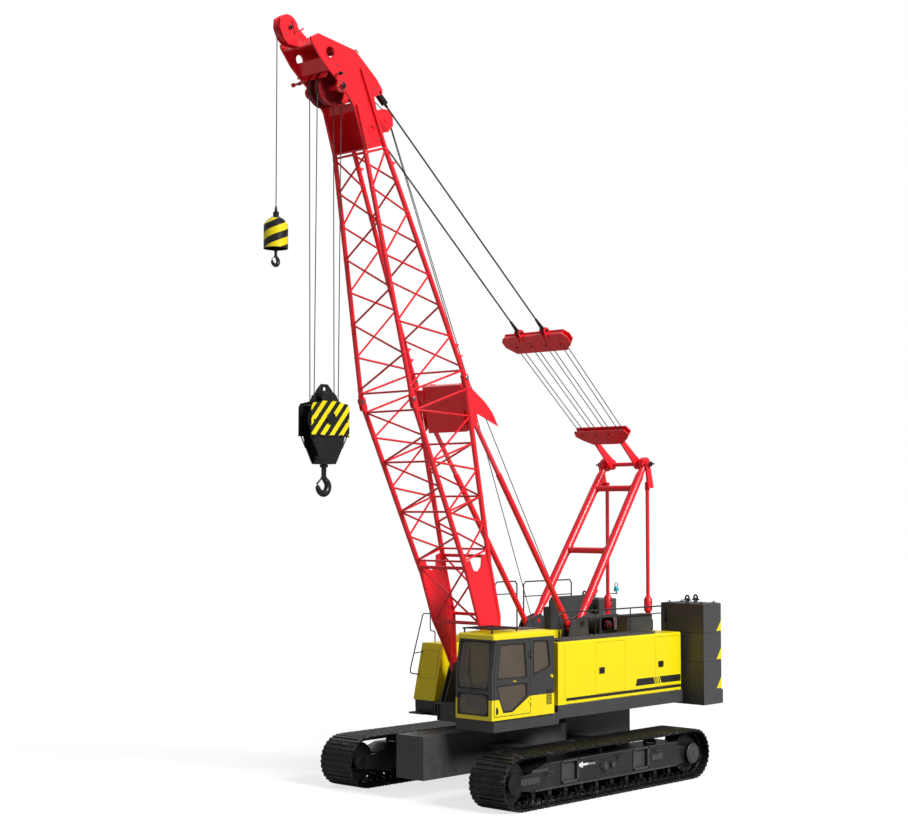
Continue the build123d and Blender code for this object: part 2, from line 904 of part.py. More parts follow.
def make_winch_frames():
    frames = []
    for node, x, z, core, flange, half in winches:
        for side in (1, -1):
            y = side * winch_plate_y
            frame = side_plate(winch_side(node, x, z), y, plate)
            if node == "luffing_drum":
                frame -= block(x - 310, x + 310, y - 50, y + 50, z - 110, z + 200)
                boss = rod((x, y - plate / 2, z), (x, y + plate / 2, z), 105)
                frame = frame.fuse(boss, block(x - 60, x + 60, y - plate / 2, y + plate / 2, z - 150, z))
            frame -= rod((x, y - 50, z), (x, y + 50, z), shaft_radius + running_gap)
            frames.append(frame)
    return frames


save(make_winch_frames(), "winch_frames")

# ---------------------------------------------------------------- gantry


def eye(x, y, z, radius, thickness, bore):
    return rod(
        (x, y - thickness / 2, z), (x, y + thickness / 2, z), radius,
    ) - rod((x, y - thickness, z), (x, y + thickness, z), bore)


def make_gantry_legs():
    pieces = []
    for side in (1, -1):
        foot = (leg_foot_x, side * leg_foot_y, leg_foot_z)
        top = (gantry_top_x, side * gantry_top_y, gantry_top_z)
        pieces.append(rod(foot, top, leg_radius))
        pieces.append(
            rod(
                (leg_foot_x, side * leg_foot_y - 75, leg_foot_z),
                (leg_foot_x, side * leg_foot_y + 75, leg_foot_z), 95,
            )
        )
        pieces.append(
            rod(
                (gantry_top_x, side * gantry_top_y - 60, gantry_top_z),
                (gantry_top_x, side * gantry_top_y + 60, gantry_top_z), 165,
            )
        )
    for share in (0.44, 0.84):
        x = leg_foot_x + share * (gantry_top_x - leg_foot_x)
        z = leg_foot_z + share * (gantry_top_z - leg_foot_z)
        y = leg_foot_y + share * (gantry_top_y - leg_foot_y)
        pieces.append(rod((x, -y, z), (x, y, z), 72))
    pieces.append(
        rod((gantry_top_x, -780, gantry_top_z), (gantry_top_x, 780, gantry_top_z), gantry_shaft_radius)
    )
    for side in (1, -1):
        pieces.append(
            rod((leg_foot_x, side * 530, leg_foot_z), (leg_foot_x, side * 800, leg_foot_z), leg_pin_radius)
        )
    return joined(pieces)


save(make_gantry_legs(), "gantry_legs")
backstay_top_z = 6860.0


def make_backstays():
    """Vertical links from the rear brackets to plates hung on the gantry's top shaft."""
    links = []
    for side in (1, -1):
        y = side * backstay_y
        link = joined([
            rod((backstay_x, y, backstay_foot_z), (backstay_x, y, backstay_top_z), backstay_radius),
            rod((backstay_x, y - 35, backstay_foot_z), (backstay_x, y + 35, backstay_foot_z), 85),
            block(
                backstay_x - 60, backstay_x + 60, y - 30, y + 30, backstay_foot_z + 60,
                backstay_foot_z + 380,
            ),
            block(backstay_x - 60, backstay_x + 60, y - 30, y + 30, backstay_top_z - 200, backstay_top_z),
        ])
        y2 = side * (gantry_top_y + 115)
        hanger = side_plate(
            (
                (gantry_top_x - 20, gantry_top_z + 110), (gantry_top_x - 190, backstay_top_z - 150),
                (gantry_top_x + 30, backstay_top_z - 150), (gantry_top_x + 110, gantry_top_z),
            ),
            y2, 50,
        )
        hanger -= rod((gantry_top_x, y2 - 60, gantry_top_z), (gantry_top_x, y2 + 60, gantry_top_z), 50)
        link = link.fuse(
            hanger,
            block(
                backstay_x - 50, backstay_x + 50, y - side * 30, y2 + side * 10, backstay_top_z - 120,
                backstay_top_z - 20,
            ),
        )
        link -= rod((backstay_x, y - 60, backstay_foot_z), (backstay_x, y + 60, backstay_foot_z), 40)
        links.append(link)
    return links


save(make_backstays(), "gantry_backstays")

# ---------------------------------------------------------------- boom
# Built lying along +X from its foot pin, with +Z its back, then stood up.

boom_place = Pos(foot_x, 0, foot_z) * Rot(0, -boom_angle, 0)
base_half_width = 690.0
base_front = 347.0
base_back = 447.0
joint_gap = 90.0
box_low, box_high = 5300.0, 6330.0


def lower_chord(x, side, back):
    """Centre of a chord of the lower section, side +-1, back +-1."""
    share = (x - base_plate_top) / (joint_length - base_plate_top)
    half = base_back if back > 0 else base_front
    return (
        x, side * between(base_half_width, joint_half_width, share),
        back * between(half, joint_half_depth, share),
    )


def upper_chord(x, side, back):
    share = (x - joint_length) / (head_start - joint_length)
    return (
        x, side * between(joint_half_width, head_half_width, share),
        back * between(joint_half_depth, head_half_depth, share),
    )


corners = ((1, 1), (1, -1), (-1, -1), (-1, 1))


def lattice(chord, stations, rungs, back_end=1e9):
    """Zigzag bars on the four faces, those of opposite faces crossing, with rungs at the stations named.

    The back face has none past back_end."""
    bars = []
    for f in range(4):
        a, b = corners[f], corners[(f + 1) % 4]
        for i, (x0, x1) in enumerate(zip(stations, stations[1:])):
            if f == 3 and x1 > back_end:
                continue
            first, second = (a, b) if i % 2 else (b, a)
            bars.append(prism(chord(x0, *first), chord(x1, *second), lacing_radius))
        for x in rungs:
            if f == 3 and x > back_end:
                continue
            bars.append(prism(chord(x, *a), chord(x, *b), lacing_radius))
    return bars


def clevis(chord_end, side, back):
    """Two ears and the pin that joins one chord to the next."""
    x, y, z = chord_end
    ears = [
        block(x - 90, joint_length + 70, y + e * 40 - 12, y + e * 40 + 12, z - 70, z + 70)
        for e in (-1, 1)
    ]
    pin = rod((joint_length, y - 62, z), (joint_length, y + 62, z), 36)
    stub = block(x - 110, x - 60, y - 52, y + 52, z - 60, z + 60)
    return ears + [pin, stub]


def make_boom_lower():
    pieces = []
    for side, back in corners:
        end = lower_chord(joint_length - joint_gap, side, back)
        pieces.append(rod(lower_chord(base_plate_top - 150, side, back), end, chord_radius))
        pieces += clevis((joint_length - joint_gap, end[1], end[2]), side, back)
    stations = [base_plate_top + 100 + i * (joint_length - base_plate_top - 350) / 6 for i in range(7)]
    pieces += lattice(lower_chord, stations, stations[::2], box_low + 60)
    for side in (1, -1):
        y = side * 680
        notch = (
            (base_plate_top + 60, -base_front - 50), (base_plate_top + 60, -150),
            (base_plate_top - 190, -110), (base_plate_top - 260, 0), (base_plate_top - 210, 140),
            (base_plate_top + 20, 230), (base_plate_top + 20, base_back + 55),
            (base_plate_bottom - 100, 360), (200, foot_eye_radius - 10), (200, -foot_eye_radius + 10),
            (base_plate_bottom, -290),
        )
        pieces.append(side_plate(notch, y, 24))
        edge_front = rod((base_plate_bottom, y, -290), lower_chord(base_plate_top - 100, side, -1), 45)
        edge_back = rod((base_plate_bottom - 100, y, 360), lower_chord(base_plate_top - 100, side, 1), 45)
        foot_front = rod((base_plate_bottom, y, -290), (150, side * foot_y, -60), 40)
        foot_back = rod((base_plate_bottom - 100, y, 360), (150, side * foot_y, 60), 40)
        eye_body = rod(
            (0, side * foot_y - foot_eye_thickness / 2, 0), (0, side * foot_y + foot_eye_thickness / 2, 0),
            foot_eye_radius,
        )
        neck = side_plate(
            ((0, foot_eye_radius - 5), (320, 110), (320, -110), (0, -foot_eye_radius + 5)), side * foot_y,
            foot_eye_thickness - 10,
        )
        pieces += [edge_front, edge_back, foot_front, foot_back, eye_body, neck]
    # cross bars and X-braces of the base
    for x, z in (
        (base_plate_bottom, -290), (base_plate_top - 60, -base_front), (base_plate_bottom - 60, 360),
        (base_plate_top - 60, base_back),
    ):
        pieces.append(rod((x, -680, z), (x, 680, z), 38))
    for z0, z1 in ((-290, -base_front), (360, base_back)):
        pieces.append(prism((base_plate_bottom, -680, z0), (base_plate_top - 60, 680, z1), lacing_radius))
        pieces.append(prism((base_plate_bottom, 680, z0), (base_plate_top - 60, -680, z1), lacing_radius))
    body = joined(pieces)
    for side in (1, -1):
        body -= rod((0, side * foot_y - 60, 0), (0, side * foot_y + 60, 0), foot_pin_radius + running_gap)
    return body


def make_guide_box():
    """Box between the back chords, with lugs for the backstops and the rope fins."""
    z0 = 745.0
    half = stop_y - 70
    pieces = [
        side_plate(
            ((box_low, z0), (box_low, z0 + 150), (box_high, z0 + 270), (box_high, z0 + 110)), 0, 2 * half,
        ),
    ]
    for side in (1, -1):
        for y in (stop_y - stop_lug_offset, stop_y + stop_lug_offset):
            pieces.append(
                side_plate(
                    (
                        (stop_length_on_boom - 200, 800), (stop_length_on_boom - 100, 1010),
                        (stop_length_on_boom + 100, 1040), (stop_length_on_boom + 500, 850),
                    ),
                    side * y, 20,
                )
            )
        fin = side_plate(
            (
                (5950, 990), (6330, 1000), (6330, 1120), (6150, 1330), (5700, 1690), (5400, 1850),
                (5080, 1930), (5500, 1400),
            ),
            side * 430, 14,
        )
        y = side * 520
        lug = side_plate(
            ((6080, 950), (6120, 1130), (6180, 1200), (6280, 1200), (6330, 1130), (6330, 960)), y, 30,
        )
        lug -= rod((6230, y - 40, 1120), (6230, y + 40, 1120), 40)
        pieces += [fin, lug]
        pieces.append(block(5760, box_high - 60, side * (half - 20), side * 712, 805, 865))
    return joined(pieces)


save(boom_place * make_boom_lower().fuse(make_guide_box()), "boom_lower")


def make_boom_upper():
    pieces = []
    for side, back in corners:
        start = upper_chord(joint_length + joint_gap, side, back)
        pieces.append(rod(start, upper_chord(head_start + 20, side, back), chord_radius * 0.92))
        eye_plate = block(
            joint_length - 68, joint_length + joint_gap + 60, start[1] - 24, start[1] + 24, start[2] - 62,
            start[2] + 62,
        )
        pieces.append(eye_plate)
    first = joint_length + 260
    stations = [first + i * (head_start - 90 - first) / 7 for i in range(8)]
    pieces += lattice(upper_chord, stations, (first - 90, head_start - 60))
    body = joined(pieces) - block(head_start, head_start + 200, -900, 900, -900, 900)
    for side, back in corners:
        _, y, z = upper_chord(joint_length + joint_gap, side, back)
        z = lower_chord(joint_length - joint_gap, side, back)[2]
        body -= rod((joint_length, y - 100, z), (joint_length, y + 100, z), 36 + running_gap)
    return boom_place * body


save(make_boom_upper(), "boom_upper")


def from_head(*points):
    """An outline on the boom, its x counted from the start of the head."""
    return tuple((head_start + x, z) for x, z in points)


cheek_outline = from_head(
    (0, 285), (0, -295), (915, -340), (1075, -400), (1505, -645), (1735, -810), (1975, -960), (2365, -1115),
    (2445, -1110), (2485, -880), (2015, 60), (1355, 500), (1125, 590), (1035, 560), (1015, 300),
)
cheek_y = head_half_width


def head_shafts():
    """Fixed shafts that the sheaves turn on, and the rope keepers' stubs outside the cheeks."""
    shafts = [
        # x, half length, z, radius
        (main_sheave_length, 540, -main_sheave_drop, main_shaft_radius),
        (tip_sheave_length, 125, -tip_sheave_drop, tip_shaft_radius),
        (guide_sheave_length, 100, guide_sheave_rise, guide_shaft_radius),
    ]
    bars = [rod((x, -half, z), (x, half, z), radius) for x, half, z, radius in shafts]
    stub_x, stub_z = head_start + 1615, -660
    bars += [
        rod((stub_x, side * (cheek_y - 10), stub_z), (stub_x, side * 640, stub_z), 28)
        for side in (1, -1)
    ]
    return bars


# plates across the head between its cheeks, outlines in (x, z)
cross_plates = (
    from_head((0, -290), (0, 290), (40, 290), (40, -290)),
    from_head((40, 255), (835, 255), (835, 285), (40, 285)),
    from_head((825, -180), (995, -180), (995, -255), (825, -260)),
    from_head((1445, 375), (1935, 48), (1950, 73), (1460, 400)),
    from_head((1725, -735), (2005, -790), (2010, -815), (1730, -760)),
    from_head((2285, -1060), (2425, -860), (2445, -875), (2310, -1075)),
)
nose_outline = from_head(
    (2255, -860), (2445, -875), (2505, -905), (2855, -1185), (2985, -1300), (2935, -1460), (2765, -1530),
    (2545, -1500), (2395, -1400), (2285, -1060),
)
guide_bracket = from_head(
    (345, 280), (255, 720), (245, 900), (355, 1090), (545, 1130), (695, 1060), (745, 880), (735, 600),
    (675, 280),
)


def make_boom_head():
    """Two cheek plates, their cross plates, and the nose that carries the tip sheave."""
    pieces = []
    inner = cheek_y - head_plate / 2
    for side in (1, -1):
        pieces.append(side_plate(cheek_outline, side * cheek_y, head_plate))
        boss = (cheek_y - head_plate / 2, cheek_y + head_plate / 2 + 15)
        x, z = main_sheave_length, -main_sheave_drop
        pieces.append(rod((x, side * boss[0], z), (x, side * boss[1], z), 130))
        y = side * (cheek_y + 42)
        pieces.append(side_plate(from_head((0, 232), (0, 292), (1635, 120), (1635, 60)), y, 55))
        pieces.append(side_plate(from_head((0, -232), (0, -292), (945, -292), (945, -232)), y, 55))
    for outline in cross_plates:
        pieces.append(side_plate(outline, 0, 2 * inner + 10))
    for side in (1, -1):
        pieces.append(side_plate(nose_outline, side * 95, 20))
        pieces.append(side_plate(guide_bracket, side * 75, 16))
    pieces.append(side_plate(from_head((2285, -1050), (2435, -860), (2505, -895), (2365, -1090)), 0, 210))
    body = joined(pieces)
    for x, z, radius in ((head_start + 2075, -675, 110), (head_start + 375, 0, 75)):
        body -= rod((x, -600, z), (x, 600, z), radius)
    x, z = pendant_length_on_boom, pendant_rise_on_boom
    body -= rod((x, -600, z), (x, 600, z), 32)
    body = body.fuse(*head_shafts())
    return boom_place * body


save(make_boom_head(), "boom_head")


def sheave(rope_line, width, bore):
    """A grooved wheel about the Y axis; rope_line is the radius of the rope's middle."""
    groove = rope_radius * 1.6
    rim = rope_line + 26
    half = width / 2
    floor = rope_line - rope_radius - running_gap
    profile = Polyline(
        (bore, -half * 0.9), (bore + 70, -half * 0.9), (bore + 70, -half * 0.35),
        (rope_line - 70, -half * 0.35), (rope_line - 60, -half), (rim, -half), (floor, -groove * 0.5),
        (floor, groove * 0.5), (rim, half), (rope_line - 60, half), (rope_line - 70, half * 0.35),
        (bore + 70, half * 0.35), (bore + 70, half * 0.9),
        (bore, half * 0.9), close=True,
    )
    return Rot(90, 0, 0) * revolve(make_face(Plane.XZ * profile), Axis.Z)


def at_boom(shape, x, y, z):
    return boom_place * Pos(x, y, z) * shape


main_sheaves = [
    at_boom(
        sheave(sheave_rope_radius, 110, main_shaft_radius + running_gap), main_sheave_length,
        side * fall_spacing, -main_sheave_drop,
    )
    for side in (1, -1)
]
save(main_sheaves, "main_sheaves")
save(
    at_boom(
        sheave(tip_rope_radius, 110, tip_shaft_radius + running_gap), tip_sheave_length, 0,
        -tip_sheave_drop,
    ),
    "tip_sheave",
)
save(
    at_boom(
        sheave(guide_rope_radius, 90, guide_shaft_radius + running_gap), guide_sheave_length, 0,
        guide_sheave_rise,
    ),
    "guide_sheave",
)


def on_boom(x, z):
    """Place in the machine's frame (x, z) of a point of the boom's middle plane."""
    a = math.radians(boom_angle)
    return foot_x + x * math.cos(a) - z * math.sin(a), foot_z + x * math.sin(a) + z * math.cos(a)


main_x, main_z = on_boom(main_sheave_length, -main_sheave_drop)
tip_x, tip_z = on_boom(tip_sheave_length, -tip_sheave_drop)
pendant_x, pendant_z = on_boom(pendant_length_on_boom, pendant_rise_on_boom)
stop_x, stop_z = on_boom(stop_length_on_boom, stop_rise_on_boom)

# ---------------------------------------------------------------- luffing gear

bridle_angle = math.degrees(math.atan2(pendant_z - gantry_top_z, pendant_x - gantry_top_x))
bridle_length = math.hypot(pendant_z - gantry_top_z, pendant_x - gantry_top_x)
bridle_place = Pos(gantry_top_x, 0, gantry_top_z) * Rot(0, -bridle_angle, 0)


def flat_plate(points, z, thickness):
    """A plate parallel to XY, centred on height z."""
    face = make_face(Polyline(*[(x, y, 0) for x, y in points], close=True))
    return Pos(0, 0, z - thickness / 2) * extrude(face, thickness, dir=(0, 0, 1))


def spreader_rows(pitch):
    return [(i - (spreader_sheaves - 1) / 2) * pitch for i in range(spreader_sheaves)]


def mirrored(points):
    """An outline across Y from its half on the positive side."""
    return tuple(points) + tuple((x, -y) for x, y in reversed(points))


def make_lower_spreader():
    half = lower_spreader_width / 2
    x = lower_spreader_out
    outline = mirrored(
        ((x - 330, half * 0.55), (x - 150, half * 0.86), (x - 20, half), (x + 150, half * 0.93))
    )
    pieces = [flat_plate(outline, side * 62, 24) for side in (1, -1)]
    for y in spreader_rows(lower_sheave_pitch):
        pieces.append(rod((x, y, -100), (x, y, 100), 30))
    for side in (1, -1):
        y = side * 400
        link = (
            (0, 130), (300, 95), (x - 180, 60), (x + 60, 50), (x + 60, -50), (x - 180, -60), (300, -95),
            (0, -130),
        )
        pieces.append(side_plate(link, y, 40))
        pieces.append(rod((0, y - 45, 0), (0, y + 45, 0), 130))
    body = joined(pieces)
    body -= rod((0, -900, 0), (0, 900, 0), gantry_shaft_radius + running_gap)
    return bridle_place * body


def flat_sheave(x, y):
    """A small sheave lying between the spreader's plates."""
    return Pos(x, y, 0) * Rot(-90, 0, 0) * sheave(spreader_rope_radius, 80, 30)


def with_sheaves(spreader, x, pitch):
    return spreader.fuse(*[bridle_place * flat_sheave(x, y) for y in spreader_rows(pitch)])


save(with_sheaves(make_lower_spreader(), lower_spreader_out, lower_sheave_pitch), "lower_spreader")


def make_upper_spreader():
    half = upper_spreader_width / 2
    x = upper_spreader_out
    outline = mirrored(((x - 200, half * 0.78), (x + 30, half), (x + 210, half), (x + 330, half * 0.9)))
    pieces = [flat_plate(outline, side * 62, 24) for side in (1, -1)]
    for y in spreader_rows(upper_sheave_pitch):
        pieces.append(rod((x, y, -100), (x, y, 100), 30))
    pieces.append(block(x + 260, x + 310, -half * 0.9, half * 0.9, -60, 60))
    lug = ((x + 190, 100), (x + 400, 90), (x + 475, 40), (x + 475, -40), (x + 400, -90), (x + 190, -100))
    for side in (1, -1):
        y = side * pendant_y
        pieces += [side_plate(lug, y + way * 60, 28) for way in (1, -1)]
        pieces.append(rod((x + 400, y - 95, 0), (x + 400, y + 95, 0), 28))
    return bridle_place * joined(pieces)


save(with_sheaves(make_upper_spreader(), upper_spreader_out, upper_sheave_pitch), "upper_spreader")


def make_pendants():
    """Two fixed ropes with a tapered socket and an eye at each end."""
    ropes = []
    x0, x1 = upper_spreader_out + 400, bridle_length
    for side in (1, -1):
        y = side * pendant_y
        pieces = [rod((x0, y, 0), (x1, y, 0), pendant_radius)]
        for x, way in ((x0, 1), (x1, -1)):
            pieces.append(eye(x, y, 0, 62, 56, 28 + running_gap))
            pieces.append(
                Plane(origin=(x + way * 50, y, 0), z_dir=(way, 0, 0)) * Cone(
                    46, 24, 330, align=(Align.CENTER, Align.CENTER, Align.MIN),
                )
            )
        body = joined(pieces)
        for x in (x0, x1):
            body -= rod((x, y - 60, 0), (x, y + 60, 0), 28 + running_gap)
        ropes.append(bridle_place * body)
    return ropes


save(make_pendants(), "pendants")


def make_luffing_falls():
    falls = []
    for low, high in zip(spreader_rows(lower_sheave_pitch), spreader_rows(upper_sheave_pitch)):
        for side in (1, -1):
            out = side * spreader_rope_radius
            start, end = (lower_spreader_out, low + out, 0), (upper_spreader_out, high + out, 0)
            falls.append(bridle_place * rod(start, end, rope_radius))
    return falls


save(make_luffing_falls(), "luffing_falls")

# ---------------------------------------------------------------- backstops

stop_angle = math.degrees(math.atan2(stop_z - stop_foot_z, stop_x - stop_foot_x))
stop_length = math.hypot(stop_z - stop_foot_z, stop_x - stop_foot_x)
stop_place = Pos(stop_foot_x, 0, stop_foot_z) * Rot(0, -stop_angle, 0)
stop_fit = 1.0


def make_stop_tubes():
    tubes = []
    for side in (1, -1):
        y = side * stop_y
        body = joined([
            rod((120, y, 0), (stop_tube_length, y, 0), stop_tube_radius),
            rod((0, y - 40, 0), (0, y + 40, 0), 85),
            block(0, 180, y - 38, y + 38, -60, 60),
        ])
        body -= rod((300, y, 0), (stop_tube_length + 10, y, 0), stop_rod_radius + stop_fit)
        body -= rod((0, y - 60, 0), (0, y + 60, 0), stop_pin_radius + running_gap)
        tubes.append(stop_place * body)
    return tubes


save(make_stop_tubes(), "backstop_tubes")


def make_stop_rods():
    rods = []
    for side in (1, -1):
        y = side * stop_y
        body = joined([
            rod((stop_tube_length - 3250, y, 0), (stop_length - 230, y, 0), stop_rod_radius),
            rod((stop_length, y - 28, 0), (stop_length, y + 28, 0), 70),
            block(stop_length - 280, stop_length, y - 28, y + 28, -45, 45),
        ])
        body -= rod((stop_length, y - 60, 0), (stop_length, y + 60, 0), 30)
        rods.append(stop_place * body)
    return rods


save(make_stop_rods(), "backstop_rods")

# ---------------------------------------------------------------- hook blocks


def hook_shape(size):
    """A hook in the XZ plane, thickest below its bowl and thinning to the tip, with its latch."""
    thick = 0.42 * size
    outer = rod((-0.3 * size, -thick, -0.15 * size), (-0.3 * size, thick, -0.15 * size), 1.65 * size)
    gap = rod((0, -2 * thick, 0), (0, 2 * thick, 0), 0.85 * size)
    mouth = ((0, 0), (0.4, 3), (3, 3), (2.6, 0.55), (1.45, 0.3), (1.0, 0.3), (0.6, 0.1))
    latch = ((-0.15, 1.3), (0.05, 1.55), (1.26, 0.36), (1.16, 0.1), (1.0, 0.2))
    body = outer - gap - side_plate([(x * size, z * size) for x, z in mouth], 0, 5 * thick)
    shank = rod((-0.35 * size, 0, 1.2 * size), (-0.35 * size, 0, 2.9 * size), thick)
    return body.fuse(shank, side_plate([(x * size, z * size) for x, z in latch], 0, 0.3 * size))


block_bottom_z = block_top_z - block_height
block_axis_z = block_bottom_z + 930
main_hook_size = 125.0
aux_hook_size = 70.0


def mirrored_x(points):
    """An outline in (x, z) from its half on the positive side, given from the bottom up."""
    return tuple(points) + tuple((-x, z) for x, z in reversed(points))


def at_axis(points):
    return tuple((x, z + block_axis_z) for x, z in points)


def make_main_block():
    """Two cheeks over the sheaves, the tapered plates below them, and the swivel's cross-head."""
    half = block_width / 2
    side_y = block_thickness / 2
    cheek = mirrored_x(
        ((half, -370), (half, 220), (half - 45, 300), (320, 330), (220, 360), (130, 500), (50, 540))
    )
    lower = mirrored_x(((170, -930), (200, -890), (370, -570), (440, -300)))
    becket = mirrored_x(((360, 270), (360, 330), (210, 590), (90, 710)))
    pieces = []
    for side in (1, -1):
        pieces.append(side_plate(at_axis(cheek), side * (side_y - 15), 30))
        pieces.append(side_plate(at_axis(lower), side * (side_y - 44), 30))
        for way in (1, -1):
            y = side * (side_y - 44)
            start, end = (way * (half - 22), y, block_axis_z - 340), (way * 365, y, block_axis_z - 600)
            pieces.append(rod(start, end, 13))
    pieces.append(rod((0, -side_y - 30, block_axis_z), (0, side_y + 30, block_axis_z), 55))
    for side in (1, -1):
        pieces.append(
            rod((0, side * (side_y - 10), block_axis_z), (0, side * (side_y + 14), block_axis_z), 120)
        )
    inner = side_y - 29
    pieces.append(block(-170, 170, -inner, inner, block_bottom_z, block_bottom_z + 180))
    pieces.append(block(-200, 200, -inner, inner, block_axis_z + 400, block_axis_z + 470))
    for x, z in ((400, 250), (-400, 250), (290, -345), (-290, -345)):
        pieces.append(rod((x, -side_y - 6, block_axis_z + z), (x, side_y + 6, block_axis_z + z), 22))
    pieces.append(side_plate(at_axis(becket), 0, 20))
    pieces += [Pos(0, side * 60, block_axis_z) * sheave(sheave_rope_radius, 90, 55) for side in (1, -1)]
    body = joined(pieces)
    eye_z = block_axis_z + 610
    body -= rod((0, -100, eye_z), (0, 100, eye_z), 40)
    body -= rod((0, 0, block_bottom_z - 10), (0, 0, block_bottom_z + 150), 46 + running_gap)
    return Pos(main_x, 0, 0) * body


save(make_main_block(), "main_block")


def make_main_hook():
    hook = hook_shape(main_hook_size)
    centre_z = block_bottom_z - 3.35 * main_hook_size - 25
    body = Pos(0.35 * main_hook_size, 0, centre_z) * hook
    stem = rod((0, 0, centre_z + 2.4 * main_hook_size), (0, 0, block_bottom_z + 140), 46)
    nut = rod((0, 0, block_bottom_z - 70), (0, 0, block_bottom_z - 5), 85)
    return Pos(main_x, 0, 0) * joined([body, stem, nut])


save(make_main_hook(), "main_hook")


def make_main_falls():
    falls = []
    for y in (-60, 60):
        for way in (1, -1):
            x = main_x + way * sheave_rope_radius
            falls.append(rod((x, y, block_axis_z), (x, y * fall_spacing / 60, main_z), rope_radius))
    return falls


save(make_main_falls(), "main_falls")

aux_x = tip_x + tip_rope_radius


def make_aux_ball():
    """Round weight with a domed top and a socket for the rope."""
    top = aux_height + 120
    profile = Polyline(
        (0, 0), (aux_radius, 0), (aux_radius, aux_height - 150), (aux_radius - 80, aux_height - 50),
        (90, aux_height), (45, aux_height + 10), (38, top), (0, top), close=True,
    )
    body = revolve(make_face(Plane.XZ * profile), Axis.Z)
    z0 = aux_top_z - aux_height - 120
    body = Pos(aux_x, 0, z0) * body
    body -= rod((aux_x, 0, z0 - 10), (aux_x, 0, z0 + 100), 28 + running_gap)
    return body


save(make_aux_ball(), "aux_ball")


def make_aux_hook():
    z0 = aux_top_z - aux_height - 120
    centre_z = z0 - 3.35 * aux_hook_size - 10
    body = Pos(0.35 * aux_hook_size, 0, centre_z) * hook_shape(aux_hook_size)
    stem = rod((0, 0, centre_z + 2.4 * aux_hook_size), (0, 0, z0 + 95), 28)
    collar = rod((0, 0, z0 - 45), (0, 0, z0 - 5), 48)
    return Pos(aux_x, 0, 0) * joined([body, stem, collar])


save(make_aux_hook(), "aux_hook")
save(rod((aux_x, 0, aux_top_z), (aux_x, 0, tip_z), rope_radius), "aux_fall")

print("foot", foot_x, foot_z, "main axis", main_x, main_z, "tip", tip_x, tip_z, "aux rope x", aux_x)
print("bridle angle, length", bridle_angle, bridle_length, "stop angle, length", stop_angle, stop_length)
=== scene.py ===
import math
import bmesh
import bpy
import numpy as np
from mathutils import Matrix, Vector


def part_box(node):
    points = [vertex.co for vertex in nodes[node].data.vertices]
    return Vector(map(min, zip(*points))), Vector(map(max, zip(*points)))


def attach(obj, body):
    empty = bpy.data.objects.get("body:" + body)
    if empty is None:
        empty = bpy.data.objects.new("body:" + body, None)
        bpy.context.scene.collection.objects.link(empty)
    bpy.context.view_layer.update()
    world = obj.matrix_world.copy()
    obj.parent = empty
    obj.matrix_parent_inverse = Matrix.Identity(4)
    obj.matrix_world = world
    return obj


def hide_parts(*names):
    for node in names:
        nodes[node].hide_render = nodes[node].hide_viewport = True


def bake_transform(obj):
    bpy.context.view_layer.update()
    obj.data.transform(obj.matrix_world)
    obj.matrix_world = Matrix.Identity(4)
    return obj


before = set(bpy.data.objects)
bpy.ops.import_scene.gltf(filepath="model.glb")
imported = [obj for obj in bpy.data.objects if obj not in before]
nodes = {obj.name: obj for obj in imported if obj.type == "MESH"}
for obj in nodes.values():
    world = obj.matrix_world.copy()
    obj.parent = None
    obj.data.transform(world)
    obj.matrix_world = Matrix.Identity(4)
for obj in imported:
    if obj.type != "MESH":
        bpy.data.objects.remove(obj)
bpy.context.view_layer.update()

scene = bpy.context.scene
looks = {}
turn = 2 * math.pi
both = (1, -1)


class Tree:
    # short words for making and joining shader nodes
    def __init__(self, tree):
        self.tree = tree

    def put(self, node, values):
        # an output of another node is joined, anything else is set
        for key, value in values.items():
            if isinstance(value, bpy.types.NodeSocket):
                self.tree.links.new(value, node.inputs[key])
            else:
                node.inputs[key].default_value = value
        return node

    def make(self, kind, values, **settings):
        node = self.tree.nodes.new("ShaderNode" + kind)
        for key, value in settings.items():
            setattr(node, key, value)
        return self.put(node, values)

    def group(self, name, values):
        return self.make("Group", values, node_tree=effects[name]).outputs

    def math(self, operation, a, b=0.0, clamp=False):
        return self.make("Math", {0: a, 1: b}, operation=operation, use_clamp=clamp).outputs[0]

    def add(self, a, b):
        return self.math("ADD", a, b)

    def less(self, a, b):
        return self.math("SUBTRACT", a, b)

    def times(self, a, b, clamp=False):
        return self.math("MULTIPLY", a, b, clamp)

    def past(self, a, b):
        # 0 to 1 where a passes b, over two millimetres
        return self.times(self.less(a, b), 500.0, True)

    def within(self, value, low, high):
        return self.times(self.past(value, low), self.past(high, value))

    def strictly(self, value, low, high):
        # 1 between low and high and 0 outside, with no edge
        return self.times(self.math("GREATER_THAN", value, low), self.math("LESS_THAN", value, high))

    def noise(self, vector, scale, detail=3.0, rough=0.55):
        values = {"Vector": vector, "Scale": scale, "Detail": detail, "Roughness": rough}
        return self.make("TexNoise", values).outputs["Fac"]

    def ramp(self, value, low, high, toLow=0.0, toHigh=1.0):
        values = {"Value": value, "From Min": low, "From Max": high, "To Min": toLow, "To Max": toHigh}
        return self.make("MapRange", values).outputs[0]

    def mix(self, share, a, b):
        # inputs 6 and 7 are the two colours, and output 2 is their mix
        return self.make("Mix", {0: share, 6: a, 7: b}, data_type="RGBA").outputs[2]

    def split(self, vector):
        return self.make("SeparateXYZ", {0: vector}).outputs[:3]


def newLook(name):
    # a material with its tree, its shader and the place in the machine's frame
    look = bpy.data.materials.new(name)
    look.use_nodes = True
    looks[name] = look
    t = Tree(look.node_tree)
    return t, look.node_tree.nodes["Principled BSDF"], t.make("TexCoord", {}).outputs["Object"]


# camera and studio

